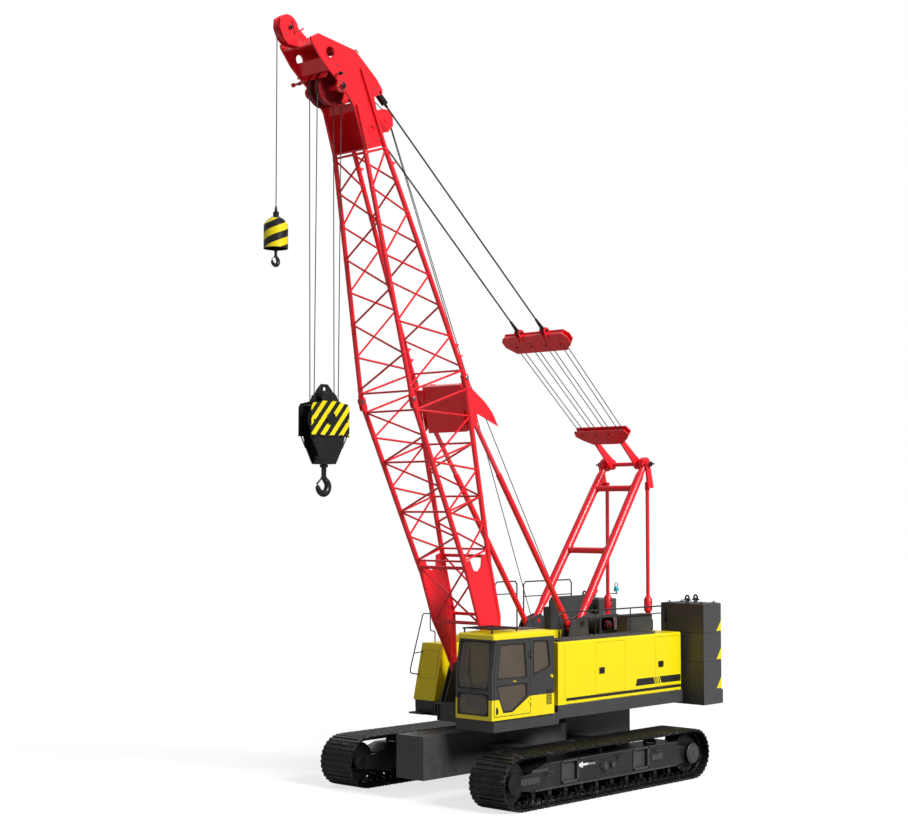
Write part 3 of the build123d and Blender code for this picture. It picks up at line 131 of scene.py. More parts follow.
cameraView = {"place": (29.699, 25.619, 6.141), "yaw": -137.007, "pitch": 3.275, "lens": 67.41}
studio = {
    "floorHalf": 150.0, "floorWhite": 0.36, "floorGlow": 0.73, "skyFill": 0.21, "mirrored": 0.12,
    "sunPower": 3.3, "sunFrom": (-0.02, 0.95, 0.62), "sunSpread": 0.35,
    "rimPower": 0.45, "rimFrom": (-0.6, -0.7, 0.9), "rimSpread": 1.2,
}


def addCamera():
    yaw, pitch = math.radians(cameraView["yaw"]), math.radians(cameraView["pitch"])
    look = Vector((math.cos(yaw) * math.cos(pitch), math.sin(yaw) * math.cos(pitch), math.sin(pitch)))
    camera = bpy.data.objects.new("camera", bpy.data.cameras.new("camera"))
    camera.location = cameraView["place"]
    camera.rotation_euler = look.to_track_quat("-Z", "Y").to_euler()
    camera.data.lens = cameraView["lens"]
    camera.data.sensor_width = 36.0
    camera.data.clip_end = 500.0
    scene.collection.objects.link(camera)
    scene.camera = camera


def addSun(name, kind):
    lamp = bpy.data.lights.new(name, "SUN")
    lamp.energy, lamp.angle = studio[kind + "Power"], studio[kind + "Spread"]
    sun = bpy.data.objects.new(name, lamp)
    sun.rotation_euler = Vector(studio[kind + "From"]).to_track_quat("Z", "Y").to_euler()
    scene.collection.objects.link(sun)


def seenRay(t, mirrored):
    # 1 for rays that see a surface straight or through glass, mirrored for reflections, 0 for those that carry light
    path = t.make("LightPath", {}).outputs
    straight = t.math("MAXIMUM", path["Is Camera Ray"], path["Is Transmission Ray"])
    return t.math("MAXIMUM", straight, t.times(path["Is Glossy Ray"], mirrored))


def addStudio():
    world = bpy.data.worlds.new("studio")
    world.use_nodes = True
    t = Tree(world.node_tree)
    strength = t.ramp(seenRay(t, studio["mirrored"]), 0.0, 1.0, studio["skyFill"], 1.0)
    t.put(world.node_tree.nodes["Background"], {"Color": (1, 1, 1, 1), "Strength": strength})
    scene.world = world
    addSun("sunKey", "sun")
    addSun("sunRim", "rim")
    scene.view_settings.view_transform = "Standard"
    half, shade = studio["floorHalf"], studio["floorWhite"]
    mesh = bpy.data.meshes.new("floor")
    mesh.from_pydata([(-half, -half, 0), (half, -half, 0), (half, half, 0), (-half, half, 0)], [], [(0, 1, 2, 3)])
    floor = bpy.data.objects.new("floor", mesh)
    scene.collection.objects.link(floor)
    t, shader, _ = newLook("floorWhite")
    t.put(shader, {
        "Base Color": (shade, shade, shade, 1), "Roughness": 0.9, "Specular IOR Level": 0.0,
        "Emission Color": (1, 1, 1, 1),
        "Emission Strength": t.times(seenRay(t, 0.5 * studio["mirrored"]), studio["floorGlow"]),
    })
    mesh.materials.append(looks["floorWhite"])


addCamera()
addStudio()
print("camera, lamps and floor are made")

# finishes


def newGroup(name, inputs, outputs):
    # inputs hold each socket's kind and value, and the group's given sockets and its end node are handed back
    group = bpy.data.node_groups.new(name, "ShaderNodeTree")
    for label, (kind, value) in inputs.items():
        socket = group.interface.new_socket(name=label, in_out="INPUT", socket_type="NodeSocket" + kind)
        if value is not None:
            socket.default_value = value
    for label, kind in outputs.items():
        group.interface.new_socket(name=label, in_out="OUTPUT", socket_type="NodeSocket" + kind)
    given = group.nodes.new("NodeGroupInput").outputs
    return group, Tree(group), given, group.nodes.new("NodeGroupOutput")


def makeWeathering():
    # broad tint changes, dust that settles low and on tops, and fine paint texture
    group, t, given, end = newGroup("weathering", {
        "Vector": ("Vector", None), "Paint": ("Color", (0.8, 0.8, 0.8, 1)), "Dust": ("Color", (0.30, 0.27, 0.24, 1)),
        "Dust Amount": ("Float", 0.1), "Tint Change": ("Float", 0.1), "Gloss Low": ("Float", 0.3),
        "Gloss High": ("Float", 0.5), "Grain": ("Float", 60.0),
    }, {"Color": "Color", "Roughness": "Float", "Height": "Float"})
    place = given["Vector"]
    broad = t.noise(place, 0.9, 4.0)
    patchy = t.noise(place, 4.5, 6.0, 0.65)
    streakPlace = t.make("Mapping", {"Vector": place, "Scale": (7.0, 7.0, 0.7)}).outputs[0]
    streak = t.noise(streakPlace, 1.0, 5.0, 0.6)
    grain = t.noise(place, given["Grain"], 2.0)
    low = t.ramp(t.split(place)[2], 2.6, 0.1)
    top = t.ramp(t.split(t.make("NewGeometry", {}).outputs["Normal"])[2], 0.5, 1.0)
    where = t.add(t.add(t.times(low, 1.2), t.times(top, 0.7)), 0.25)
    soil = t.times(t.ramp(patchy, 0.42, 0.72), where)
    soil = t.add(soil, t.times(t.ramp(streak, 0.55, 0.85), 0.35))
    soil = t.times(soil, given["Dust Amount"], True)
    bright = t.add(t.times(t.ramp(broad, 0.3, 0.7, -1.0, 1.0), given["Tint Change"]), 1.0)
    tinted = t.make("VectorMath", {0: given["Paint"], "Scale": bright}, operation="SCALE").outputs[0]
    uneven = t.add(t.times(patchy, 0.7), t.times(grain, 0.3))
    rough = t.ramp(uneven, 0.3, 0.7, given["Gloss Low"], given["Gloss High"])
    t.put(end, {
        "Color": t.mix(soil, tinted, given["Dust"]), "Roughness": t.math("ADD", rough, t.times(soil, 0.5), True),
        "Height": t.add(t.times(grain, 0.6), t.times(patchy, 0.4)),
    })
    return group


def makeChipping():
    # small chips and rubbed spots where paint has gone; on the track steel their light colour is partly a painted
    # glint
    group, t, given, end = newGroup("chipping", {
        "Vector": ("Vector", None), "Color": ("Color", None), "Bare": ("Color", (0.12, 0.11, 0.10, 1)),
        "Amount": ("Float", 0.1),
    }, {"Color": "Color"})
    spots = t.noise(given["Vector"], 38.0, 5.0, 0.7)
    where = t.noise(given["Vector"], 2.2, 3.0)
    edge = t.add(spots, t.times(t.less(where, 0.5), 0.5))
    limit = t.less(0.80, t.times(given["Amount"], 0.2))
    mask = t.times(t.less(edge, limit), 30.0, True)
    t.put(end, {"Color": t.mix(mask, given["Color"], given["Bare"])})
    return group


def makeGripPlate():
    # raised lozenges of a walkway's grip plate
    group, t, given, end = newGroup(
        "gripPlate", {"Vector": ("Vector", None), "Pitch": ("Float", 26.0)}, {"Height": "Float"})
    turned = t.make("Mapping", {"Vector": given["Vector"], "Rotation": (0, 0, math.pi / 4)}).outputs[0]
    scaled = t.make("VectorMath", {0: turned, "Scale": given["Pitch"]}, operation="SCALE").outputs[0]
    waves = [t.math("ABSOLUTE", t.math("SINE", t.times(part, math.pi))) for part in t.split(scaled)[:2]]
    t.put(end, {"Height": t.ramp(t.times(*waves), 0.45, 0.8)})
    return group


effects = {"weathering": makeWeathering(), "chipping": makeChipping(), "gripPlate": makeGripPlate()}

# paint: linear colour; dust, tint, chips: 0 to 1; gloss: lowest and highest roughness; bump: metres
finishKeys = ("paint", "dust", "tint", "chips", "gloss", "bump", "coat", "metal", "grain")
finishRows = {
    "redPaint": ((0.93, 0.012, 0.026), 0.02, 0.05, 0.05, (0.30, 0.42), 0.0006, 0.25, 0.0, 60.0),
    "yellowPaint": ((0.98, 0.79, 0.0), 0.01, 0.03, 0.0, (0.34, 0.44), 0.0005, 0.12, 0.0, 60.0),
    "greyPaint": ((0.050, 0.050, 0.052), 0.05, 0.12, 0.15, (0.38, 0.55), 0.001, 0.1, 0.0, 60.0),
    "weightPaint": ((0.062, 0.062, 0.064), 0.04, 0.10, 0.1, (0.42, 0.60), 0.003, 0.05, 0.0, 35.0),
    "frameBlack": ((0.013, 0.013, 0.0135), 0.03, 0.2, 0.2, (0.25, 0.42), 0.001, 0.2, 0.0, 60.0),
    # redInPaintedShade: the red paint darkened to how it looks in shade, as painted shade
    "redInPaintedShade": ((0.24, 0.003, 0.007), 0.04, 0.1, 0.1, (0.3, 0.45), 0.001, 0.1, 0.0, 60.0),
    "darkPaint": ((0.014, 0.014, 0.015), 0.04, 0.15, 0.1, (0.32, 0.5), 0.001, 0.15, 0.0, 60.0),
    "trackSteel": ((0.011, 0.011, 0.0115), 0.05, 0.3, 0.7, (0.24, 0.45), 0.004, 0.0, 0.35, 24.0),
    "rollerSteel": ((0.012, 0.012, 0.0125), 0.06, 0.3, 0.35, (0.3, 0.5), 0.002, 0.0, 0.4, 60.0),
    "machineBlack": ((0.0045, 0.0045, 0.005), 0.03, 0.15, 0.1, (0.28, 0.42), 0.001, 0.25, 0.0, 60.0),
    "wireRope": ((0.085, 0.082, 0.078), 0.15, 0.3, 0.0, (0.35, 0.6), 0.002, 0.0, 0.7, 140.0),
    "cylinderRed": ((0.93, 0.05, 0.07), 0.05, 0.05, 0.02, (0.2, 0.3), 0.0004, 0.5, 0.0, 60.0),
    "walkPlate": ((0.060, 0.060, 0.063), 0.20, 0.2, 0.3, (0.35, 0.55), 0.002, 0.0, 0.2, 60.0),
    "cabPlastic": ((0.022, 0.022, 0.024), 0.04, 0.1, 0.0, (0.5, 0.65), 0.002, 0.0, 0.0, 220.0),
    "rubberSeal": ((0.010, 0.010, 0.010), 0.05, 0.1, 0.0, (0.6, 0.75), 0.001, 0.0, 0.0, 160.0),
    "zincBolt": ((0.30, 0.29, 0.27), 0.15, 0.2, 0.0, (0.28, 0.5), 0.001, 0.0, 0.9, 200.0),
    "whiteMark": ((0.80, 0.80, 0.78), 0.08, 0.04, 0.05, (0.35, 0.5), 0.0004, 0.0, 0.0, 60.0),
    "seatCloth": ((0.030, 0.030, 0.034), 0.05, 0.15, 0.0, (0.75, 0.9), 0.004, 0.0, 0.0, 420.0),
}
finishes = {name: dict(zip(finishKeys, row)) for name, row in finishRows.items()}
# the track steel's light chips are worn bare steel and partly painted glints on the grousers' edges
finishes["trackSteel"]["bare"] = (0.42, 0.42, 0.43)
finishes["walkPlate"]["grip"] = 22.0
finishes["seatCloth"]["sheen"] = 0.3


def makeFinish(name, values, paintFrom=None, strength=0.6):
    # weathered paint, chipped and gripped where its values ask; paintFrom gives a pattern in place of one colour
    t, shader, place = newLook(name)
    weather = t.group("weathering", {
        "Vector": place, "Paint": paintFrom(t, place) if paintFrom else (*values["paint"], 1),
        "Dust Amount": values["dust"], "Tint Change": values["tint"],
        "Gloss Low": values["gloss"][0], "Gloss High": values["gloss"][1], "Grain": values["grain"],
    })
    color, height = weather["Color"], weather["Height"]
    # chips take the bare colour, which on the track steel is partly a painted glint
    if values["chips"] > 0:
        bare = (*values.get("bare", (0.10, 0.09, 0.08)), 1)
        color = t.group("chipping", {"Vector": place, "Color": color, "Amount": values["chips"], "Bare": bare})[0]
    if "grip" in values:
        grip = t.group("gripPlate", {"Vector": place, "Pitch": values["grip"]})["Height"]
        height = t.add(t.times(height, 0.2), grip)
    bump = t.make("Bump", {"Height": height, "Strength": strength, "Distance": values["bump"]})
    t.put(shader, {
        "Base Color": color, "Roughness": weather["Roughness"], "Normal": bump.outputs[0],
        "Metallic": values["metal"], "Coat Weight": values["coat"], "Coat Roughness": 0.12,
        "Sheen Weight": values.get("sheen", 0.0),
    })


def paintOf(name):
    return *finishes[name]["paint"], 1


def makePattern(name, base, paintFrom):
    # a finish whose paint comes from a function of the place, with no chips over it
    makeFinish(name, {**finishes[base], "chips": 0.0, "grain": 60.0}, paintFrom, 0.5)


def makeGlass(name, tint, alpha):
    t, shader, place = newLook(name)
    smear = t.noise(place, 3.0, 5.0, 0.6)
    t.put(shader, {
        "Base Color": t.mix(smear, (*tint, 1), (*(1.5 * part for part in tint), 1)),
        "Roughness": t.ramp(smear, 0.3, 0.8, 0.03, 0.10), "Alpha": t.ramp(smear, 0.3, 0.8, alpha, alpha + 0.06),
        "Specular IOR Level": 0.8, "Coat Weight": 0.6, "Coat Roughness": 0.03,
    })


def wear(look, names):
    # the named nodes take a look in place of what they had
    for name in names:
        materials = nodes[name].data.materials
        materials.clear()
        materials.append(looks[look])


for finishName, finishValues in finishes.items():
    makeFinish(finishName, finishValues)
makeGlass("cabGlass", (0.10, 0.075, 0.055), 0.62)
makeGlass("beaconGlass", (0.02, 0.42, 0.45), 0.92)

nodeFinish = {
    "redPaint": ("boom_lower", "boom_upper", "boom_head", "gantry_legs", "gantry_backstays", "lower_spreader",
                 "upper_spreader", "backstop_tubes", "tip_sheave"),
    "cylinderRed": ("backstop_rods",),
    "yellowPaint": ("front_box_right",),
    "greyPaint": ("carbody", "deck", "winch_frames", "air_box"),
    "frameBlack": ("crawler_frame_left", "crawler_frame_right"),
    # the main sheaves and the drums wear the red darkened as painted shade
    "redInPaintedShade": ("main_sheaves", "main_drum", "aux_drum", "luffing_drum"),
    "weightPaint": ("counterweight_tray",),
    "darkPaint": ("front_plinth_right", "slew_ring", "engine_block", "handrails"),
    "walkPlate": ("walkway",),
    "trackSteel": ("track_left", "track_right"),
    "rollerSteel": ("drive_sprockets", "idler_wheels", "track_rollers"),
    "machineBlack": ("guide_sheave", "main_hook", "aux_hook"),
    "wireRope": ("main_falls", "aux_fall", "luffing_falls", "pendants"),
    "cabPlastic": ("cab_controls",),
    "seatCloth": ("cab_seat",),
    "cabGlass": ("cab_glass", "cab_door_glass"),
}
for finishName, members in nodeFinish.items():
    wear(finishName, members)
print("finishes are made for", len(nodes), "nodes")

# shapes as functions on a grid


def gridFaces(rows, cols, wrapRows=False, wrapCols=False):
    # a quad between each point of a grid and its next neighbours, the last joined to the first where wrapped
    i, j = np.meshgrid(np.arange(rows - (not wrapRows)), np.arange(cols - (not wrapCols)), indexing="ij")
    i2, j2 = (i + 1) % rows, (j + 1) % cols
    return np.stack([i * cols + j, i2 * cols + j, i2 * cols + j2, i * cols + j2], -1).reshape(-1, 4)


def tubeFaces(rows, cols):
    # a tube of rows rings with a face over each end
    ring = np.arange(cols)[None]
    return [gridFaces(rows, cols, False, True), ring, (rows - 1) * cols + ring[:, ::-1]]


def flipped(faces):
    return [f[:, ::-1] for f in faces]


def repeated(faces, count, step):
    # the same faces for each of count copies, whose points are step apart
    starts = np.arange(count)[:, None, None] * step
    return [(f[None] + starts).reshape(-1, f.shape[1]) for f in faces]


def merge(parts):
    # one (points, faces) from several, each one's indices moved past the points before it
    starts = np.cumsum([0] + [len(points) for points, _ in parts])
    faces = [f + start for (_, faces), start in zip(parts, starts) for f in faces]
    return np.vstack([points for points, _ in parts]), faces


def onFrame(matrix, points):
    matrix = np.asarray(matrix, float)
    return np.asarray(points, float) @ matrix[:3, :3].T + matrix[:3, 3]


def moved(part, matrix):
    return onFrame(matrix, part[0]), part[1]


def copies(part, matrices):
    # the same part at each matrix, as one array of points
    points, faces = part
    matrices = np.asarray(matrices, float)
    placed = np.einsum("kij,nj->kni", matrices[:, :3, :3], points) + matrices[:, None, :3, 3]
    return placed.reshape(-1, 3), repeated(faces, len(matrices), len(points))


def frameAt(origin, along, up=(0, 0, 1)):
    # a matrix whose X runs along, Z is as near up as it can be, and whose origin is given
    x = np.asarray(along, float) / np.linalg.norm(along)
    up = np.asarray(up, float)
    if abs(x @ up) / np.linalg.norm(up) > 0.999:
        up = np.array((1.0, 0, 0))
    y = np.cross(up, x)
    y /= np.linalg.norm(y)
    matrix = np.eye(4)
    matrix[:3, :3] = np.stack([x, y, np.cross(x, y)], 1)
    matrix[:3, 3] = origin
    return matrix


def sweep(profile, path, scale=None, up=(0, 0, 1), closed=False, spin=None):
    # point (i, j) = path i + profile j's coordinates times the side and up directions there, scaled and spun as asked
    path, profile = np.asarray(path, float), np.asarray(profile, float)
    tangent = np.roll(path, -1, 0) - np.roll(path, 1, 0) if closed else np.gradient(path, axis=0)
    tangent /= np.linalg.norm(tangent, axis=1)[:, None]
    side = np.cross(tangent, np.broadcast_to(np.asarray(up, float), tangent.shape))
    side /= np.linalg.norm(side, axis=1)[:, None]
    rise = np.cross(side, tangent)
    scale = np.ones(len(path)) if scale is None else np.asarray(scale, float)
    angle = np.zeros(len(path)) if spin is None else spin
    c, s = np.cos(angle)[:, None], np.sin(angle)[:, None]
    u = profile[None, :, 0] * c - profile[None, :, 1] * s
    v = profile[None, :, 0] * s + profile[None, :, 1] * c
    points = path[:, None] + scale[:, None, None] * (u[..., None] * side[:, None] + v[..., None] * rise[:, None])
    rows, cols = points.shape[:2]
    faces = [gridFaces(rows, cols, True, True)] if closed else tubeFaces(rows, cols)
    return points.reshape(-1, 3), faces


def circle(radius, sides=16):
    # points at equal angles on a circle
    a = np.arange(sides) * turn / sides
    return np.stack([np.cos(a), np.sin(a)], 1) * radius


def lathe(profile, origin, axis, sides=24):
    # profile rows (radius, height) carried round the axis, with a face over each end
    profile = np.asarray(profile, float)
    a = np.arange(sides) * turn / sides
    m = frameAt(origin, axis)
    ring = np.cos(a)[None, :, None] * m[:3, 1] + np.sin(a)[None, :, None] * m[:3, 2]
    points = m[:3, 3] + profile[:, 1, None, None] * m[:3, 0] + profile[:, 0, None, None] * ring
    return points.reshape(-1, 3), flipped(tubeFaces(len(profile), sides))


def boss(side, place, profile, sides=24):
    # a lathe that stands out sideways, its place given on the left and mirrored for side -1
    return lathe(profile, (place[0], side * place[1], place[2]), (0, side, 0), sides)


def post(place, profile, sides=24):
    # a lathe that stands upright
    return lathe(profile, place, (0, 0, 1), sides)


def boxes(rows, edge=0.006):
    # each box is two rings of four corners with a chamfer ring at each end: rows hold x0, x1, y0, y1, z0, z1
    rows = np.asarray(rows, float)
    low, high = np.minimum(rows[:, ::2], rows[:, 1::2]), np.maximum(rows[:, ::2], rows[:, 1::2])
    e = np.minimum(edge, (high - low).min(1) * 0.3)[:, None, None]
    corner = np.array([(0, 0), (1, 0), (1, 1), (0, 1)], float)
    ring = np.repeat(corner, 2, axis=0)  # each corner twice, for its chamfer
    inset = np.array([(0, 1), (1, 0), (-1, 0), (0, 1), (0, -1), (-1, 0), (1, 0), (0, -1)], float)
    size = (high - low)[:, None, :2]
    xy = low[:, None, :2] + ring[None] * size + inset[None] * e
    middle = (low + high)[:, None, :2] / 2
    shrunk = middle + (xy - middle) * (1 - 2 * e / size)
    z = [low[:, 2], low[:, 2] + e[:, 0, 0], high[:, 2] - e[:, 0, 0], high[:, 2]]
    layers = [np.concatenate([p, np.repeat(h[:, None, None], 8, 1)], 2) for p, h in zip((shrunk, xy, xy, shrunk), z)]
    return np.stack(layers, 1).reshape(-1, 3), repeated(flipped(tubeFaces(4, 8)), len(rows), 32)


def plate(outline, low, high, edge=0.004):
    # an outline in X and Z carried along Y, with a chamfer made by moving its corners along their bisectors
    outline = np.asarray(outline, float)
    after = np.roll(outline, -1, 0)
    if np.sum(outline[:, 0] * after[:, 1] - after[:, 0] * outline[:, 1]) < 0:
        outline = outline[::-1]
    d1, d2 = outline - np.roll(outline, 1, 0), np.roll(outline, -1, 0) - outline
    n1 = np.stack([d1[:, 1], -d1[:, 0]], 1) / np.linalg.norm(d1, axis=1)[:, None]
    n2 = np.stack([d2[:, 1], -d2[:, 0]], 1) / np.linalg.norm(d2, axis=1)[:, None]
    bisector = n1 + n2
    bisector /= np.maximum(0.4, np.sum(bisector * n1, axis=1))[:, None]
    inner = outline - bisector * edge
    low, high = min(low, high), max(low, high)
    e = min(edge, (high - low) * 0.3)
    layers = ((inner, low), (outline, low + e), (outline, high - e), (inner, high))
    points = np.stack([np.stack([shape[:, 0], np.full(len(shape), h), shape[:, 1]], 1) for shape, h in layers])
    return points.reshape(-1, 3), tubeFaces(4, len(outline))


def bar(start, end, radius, sides=12):
    # a round bar: a circle carried straight, with a small chamfer ring at each end
    start, end = np.asarray(start, float), np.asarray(end, float)
    length, e = np.linalg.norm(end - start), radius * 0.15
    profile = [(radius - e, 0), (radius, e), (radius, length - e), (radius - e, length)]
    return lathe(profile, start, end - start, sides)


def hexBolt(radius, height):
    # a washer with a six-sided head on it, standing along X from the origin
    washer = lathe([(radius * 1.35, 0), (radius * 1.35, height * 0.25)], (0, 0, 0), (1, 0, 0), 12)
    head = [(radius, height * 0.25), (radius, height * 0.9), (radius * 0.86, height)]
    return merge([washer, lathe(head, (0, 0, 0), (1, 0, 0), 6)])


def boltRing(side, place, radius, count):
    # frames at equal angles round a sideways boss, each facing out
    a = np.arange(count) * turn / count
    return [frameAt((place[0] + u, side * place[1], place[2] + v), (0, side, 0))
            for u, v in zip(radius * np.cos(a), radius * np.sin(a))]


def boltsAt(side, y, places):
    # frames facing out at (x, z) places on a side face
    return [frameAt((x, side * y, z), (0, side, 0)) for x, z in places]


def addPiece(name, part, body, finish, smooth=True, angle=35.0):
    # the mesh from arrays, with smooth shading up to an angle
    points, faces = part
    mesh = bpy.data.meshes.new(name)
    mesh.from_pydata(points.tolist(), [], [f for block in faces for f in block.tolist()])
    shell = bmesh.new()
    shell.from_mesh(mesh)
    bmesh.ops.recalc_face_normals(shell, faces=shell.faces)
    shell.to_mesh(mesh)
    shell.free()
    piece = bpy.data.objects.new(name, mesh)
    scene.collection.objects.link(piece)
    mesh.materials.append(looks[finish])
    if smooth:
        mesh.shade_smooth()
        mesh.set_sharp_from_angle(angle=math.radians(angle))
    if body is not None:
        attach(piece, body)
    return piece


def addBolts(name, bolt, places, body, finish="zincBolt"):
    # a bolt of a radius and height at each of the places
    addPiece(name, copies(hexBolt(*bolt), places), body, finish, smooth=False)


def addBoxes(name, rows, edge, body, finish):
    addPiece(name, boxes(rows, edge), body, finish, smooth=False)


print("shape functions are ready")

# crawlers

crawler = {
    "gauge": 4.49, "width": 0.96, "front": 3.12, "rear": -3.02, "centreZ": 0.57, "pitchRadius": 0.515, "shoes": 72,
    "loop": 15.516, "sides": {"left": 1, "right": -1}, "frameHalf": 0.31, "holes": (1.36, -1.14), "holeHalf": 0.24,
    "hubStand": 0.094, "jack": (0.18, 0.62), "rollerZ": 0.2285,
}


def chainPlaces(count, radius):
    # points at equal steps on the loop of two straights and two half circles
    front, rear, z = crawler["front"], crawler["rear"], crawler["centreZ"]
    top, bend = front - rear, math.pi * radius
    s = np.arange(count) * (2 * top + 2 * bend) / count
    a1 = math.pi / 2 - (s - top) / radius
    a2 = -math.pi / 2 - (s - 2 * top - bend) / radius
    where = [s < top, s < top + bend, s < 2 * top + bend]
    x = [rear + s, front + radius * np.cos(a1), front - (s - top - bend)]
    h = [z + radius + 0 * s, z + radius * np.sin(a1), z - radius + 0 * s]
    return np.stack([np.select(where, x, rear + radius * np.cos(a2)), np.select(where, h, z + radius * np.sin(a2))], 1)


def shoePart():
    # one shoe lying on its pitch line, X along the chain, Z outwards: stepped body, ribs, pin bosses and inner links
    half, pitch = crawler["width"] / 2, crawler["loop"] / crawler["shoes"]
    rows = [
        (0.012, pitch - 0.012, -half, half, 0.004, 0.030),
        (0.020, 0.075, -half, half, 0.026, 0.054),
        (pitch - 0.075, pitch - 0.020, -half, half, 0.026, 0.054),
        (0.030, pitch - 0.030, -half + 0.010, -half + 0.075, 0.020, 0.049),
        (0.030, pitch - 0.030, half - 0.075, half - 0.010, 0.020, 0.049),
    ]
    y = (np.arange(6) - 2.5) * 0.15
    rows += [(-0.026, 0.030, v - 0.042, v + 0.042, -0.018, 0.038) for v in y]
    rows += [(pitch - 0.034, pitch + 0.022, v + 0.033, v + 0.117, -0.018, 0.036) for v in y[:-1]]
    rows += [(0.05, 0.165, side * 0.115 - 0.028, side * 0.115 + 0.028, -0.085, 0.01) for side in both]
    rows += [(0.015, pitch - 0.015, side * 0.26 - 0.03, side * 0.26 + 0.03, -0.058, 0.008) for side in both]
    pin = bar((0, -half + 0.03, 0.004), (0, half - 0.03, 0.004), 0.019, 8)
    ends = [bar((0, side * (half - 0.032), 0.004), (0, side * (half - 0.006), 0.004), 0.027, 8) for side in both]
    return merge([boxes(rows, 0.006), pin] + ends)


def makeTracks():
    pins = chainPlaces(crawler["shoes"], crawler["pitchRadius"])
    along = np.roll(pins, -1, 0) - pins
    along /= np.linalg.norm(along, axis=1)[:, None]
    matrices = np.tile(np.eye(4), (len(pins), 1, 1))
    matrices[:, 0, 0], matrices[:, 2, 0] = along.T
    matrices[:, 0, 2], matrices[:, 2, 2] = -along[:, 1], along[:, 0]
    matrices[:, 0, 3], matrices[:, 2, 3] = pins.T
    part = shoePart()
    for side, sign in crawler["sides"].items():
        matrices[:, 1, 3] = sign * crawler["gauge"] / 2
        piece = addPiece("shoe_chain_" + side, copies(part, matrices), "undercarriage", "trackSteel", smooth=False)
        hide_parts("track_" + side)


def makeFrameDressing(side, sign):
    # covers, steps and bolts on both faces of a crawler frame
    middle = crawler["gauge"] / 2
    y = middle + crawler["frameHalf"]
    h = crawler["holeHalf"]
    plates, bolts, bars = [], [], []
    for face in both:
        faceY = sign * middle + face * crawler["frameHalf"]
        lip = lambda depth: (faceY - face * 0.004, faceY + face * depth)
        for x in crawler["holes"]:
            plates += [(a, a + 0.05, *lip(0.022), 0.40, 0.88) for a in (x - h - 0.05, x + h)]
            plates += [(x - h - 0.05, x + h + 0.05, *lip(0.022), a, b) for a, b in ((0.84, 0.88), (0.40, 0.452))]
        plates += [(-2.42, 2.52, *lip(0.030), 0.335, 0.375), (-2.42, 2.05, *lip(0.020), 0.86, 0.885)]
        bolts += [frameAt((x, faceY + face * 0.030, 0.355), (0, face, 0)) for x in np.linspace(-2.3, 2.4, 22)]
    out = lambda depth: (sign * (y - 0.004), sign * (y + depth))
    # middle jack plate: a round boss with two ribs, and its box
    x, z = crawler["jack"]
    jack = boss(sign, (x, y - 0.004, z), [
        (0.105, 0), (0.105, 0.035), (0.075, 0.040), (0.075, 0.070), (0.030, 0.075)], 28)
    plates += [(0.02, 0.34, *out(0.03), 0.612, 0.628), (0.172, 0.188, *out(0.03), 0.48, 0.76)]
    plates.append((-0.16, -0.03, *out(0.06), 0.57, 0.67))
    for x, z in ((0.62, 0.76), (-0.36, 0.78), (-1.72, 0.76), (2.05, 0.70)):
        # a step: a bar on two stubs, over a ledge
        for a in (x - 0.10, x + 0.10):
            bars.append(bar((a, sign * (y - 0.01), z), (a, sign * (y + 0.07), z), 0.011, 8))
        bars.append(bar((x - 0.11, sign * (y + 0.065), z), (x + 0.11, sign * (y + 0.065), z), 0.011, 8))
        plates.append((x - 0.11, x + 0.11, *out(0.045), z - 0.075, z - 0.055))
    plates.append((-1.95, -1.55, *out(0.018), 0.55, 0.70))
    # front slide: guide bars and grease cover
    plates += [(2.38, 2.98, *out(0.030), 0.50, 0.64), (2.10, 2.60, *out(0.022), 0.72, 0.79)]
    bolts += boltsAt(sign, y + 0.030, [(x, z) for x in np.linspace(2.45, 2.92, 4) for z in (0.52, 0.62)])
    bolts += boltRing(sign, (crawler["jack"][0], y + 0.034, crawler["jack"][1]), 0.088, 8)
    addPiece("frame_fittings_" + side, merge([boxes(plates, 0.004), jack] + bars), "undercarriage", "greyPaint")
    addBolts("frame_bolts_" + side, (0.011, 0.014), bolts, "undercarriage", "greyPaint")


def makeTravelDrive(side, sign):
    # stepped hub cover with its bolts, the sprocket's teeth between the links, and the rollers' caps and flanges
    middle = crawler["gauge"] / 2
    x, z = crawler["rear"], crawler["centreZ"]
    y = middle + crawler["frameHalf"] + crawler["hubStand"]
    cover = boss(sign, (x, y, z), [
        (0.232, -0.03), (0.235, 0.0), (0.222, 0.012), (0.180, 0.014), (0.172, 0.026), (0.120, 0.028),
        (0.055, 0.034), (0.050, 0.046), (0.01, 0.046)], 48)
    addPiece("travel_hub_" + side, cover, "undercarriage", "greyPaint")
    rim = boltRing(sign, (x, y + 0.012, z), 0.200, 20)
    addBolts("travel_hub_bolts_" + side, (0.012, 0.014), rim, "undercarriage", "greyPaint")
    teeth = [frameAt((x + 0.385 * math.cos(a), sign * middle, z + 0.385 * math.sin(a)),
                     (math.cos(a), 0, math.sin(a)), (0, 1, 0)) for a in np.arange(13) * turn / 13]
    tooth = boxes([(0, 0.055, -0.035, 0.035, s - 0.03, s + 0.03) for s in (-0.17, 0.17)], 0.012)
    disc = [(0.20, -0.025), (0.40, -0.025), (0.405, 0), (0.40, 0.025), (0.20, 0.025)]
    discs = [lathe(disc, (x, sign * middle + s, z), (0, 1, 0), 52) for s in (-0.17, 0.17)]
    addPiece("sprocket_teeth_" + side, merge([copies(tooth, teeth)] + discs), "undercarriage", "rollerSteel")
    caps = []
    for x in np.linspace(crawler["rear"] + 0.68, crawler["front"] - 0.68, 10):
        for face in both:
            for stand, profile, sides in (
                (0.214, [(0.052, 0), (0.052, 0.012), (0.040, 0.020), (0.018, 0.021)], 16),
                (0.118, [(0.085, 0), (0.118, 0.004), (0.118, 0.022), (0.085, 0.026)], 24),
            ):
                place = (x, sign * middle + face * stand, crawler["rollerZ"])
                caps.append(lathe(profile, place, (0, face, 0), sides))
    addPiece("roller_caps_" + side, merge(caps), "undercarriage", "rollerSteel")


makeTracks()
for crawlerSide in crawler["sides"].items():
    makeFrameDressing(*crawlerSide)
    makeTravelDrive(*crawlerSide)
print("crawlers are dressed")

# cab

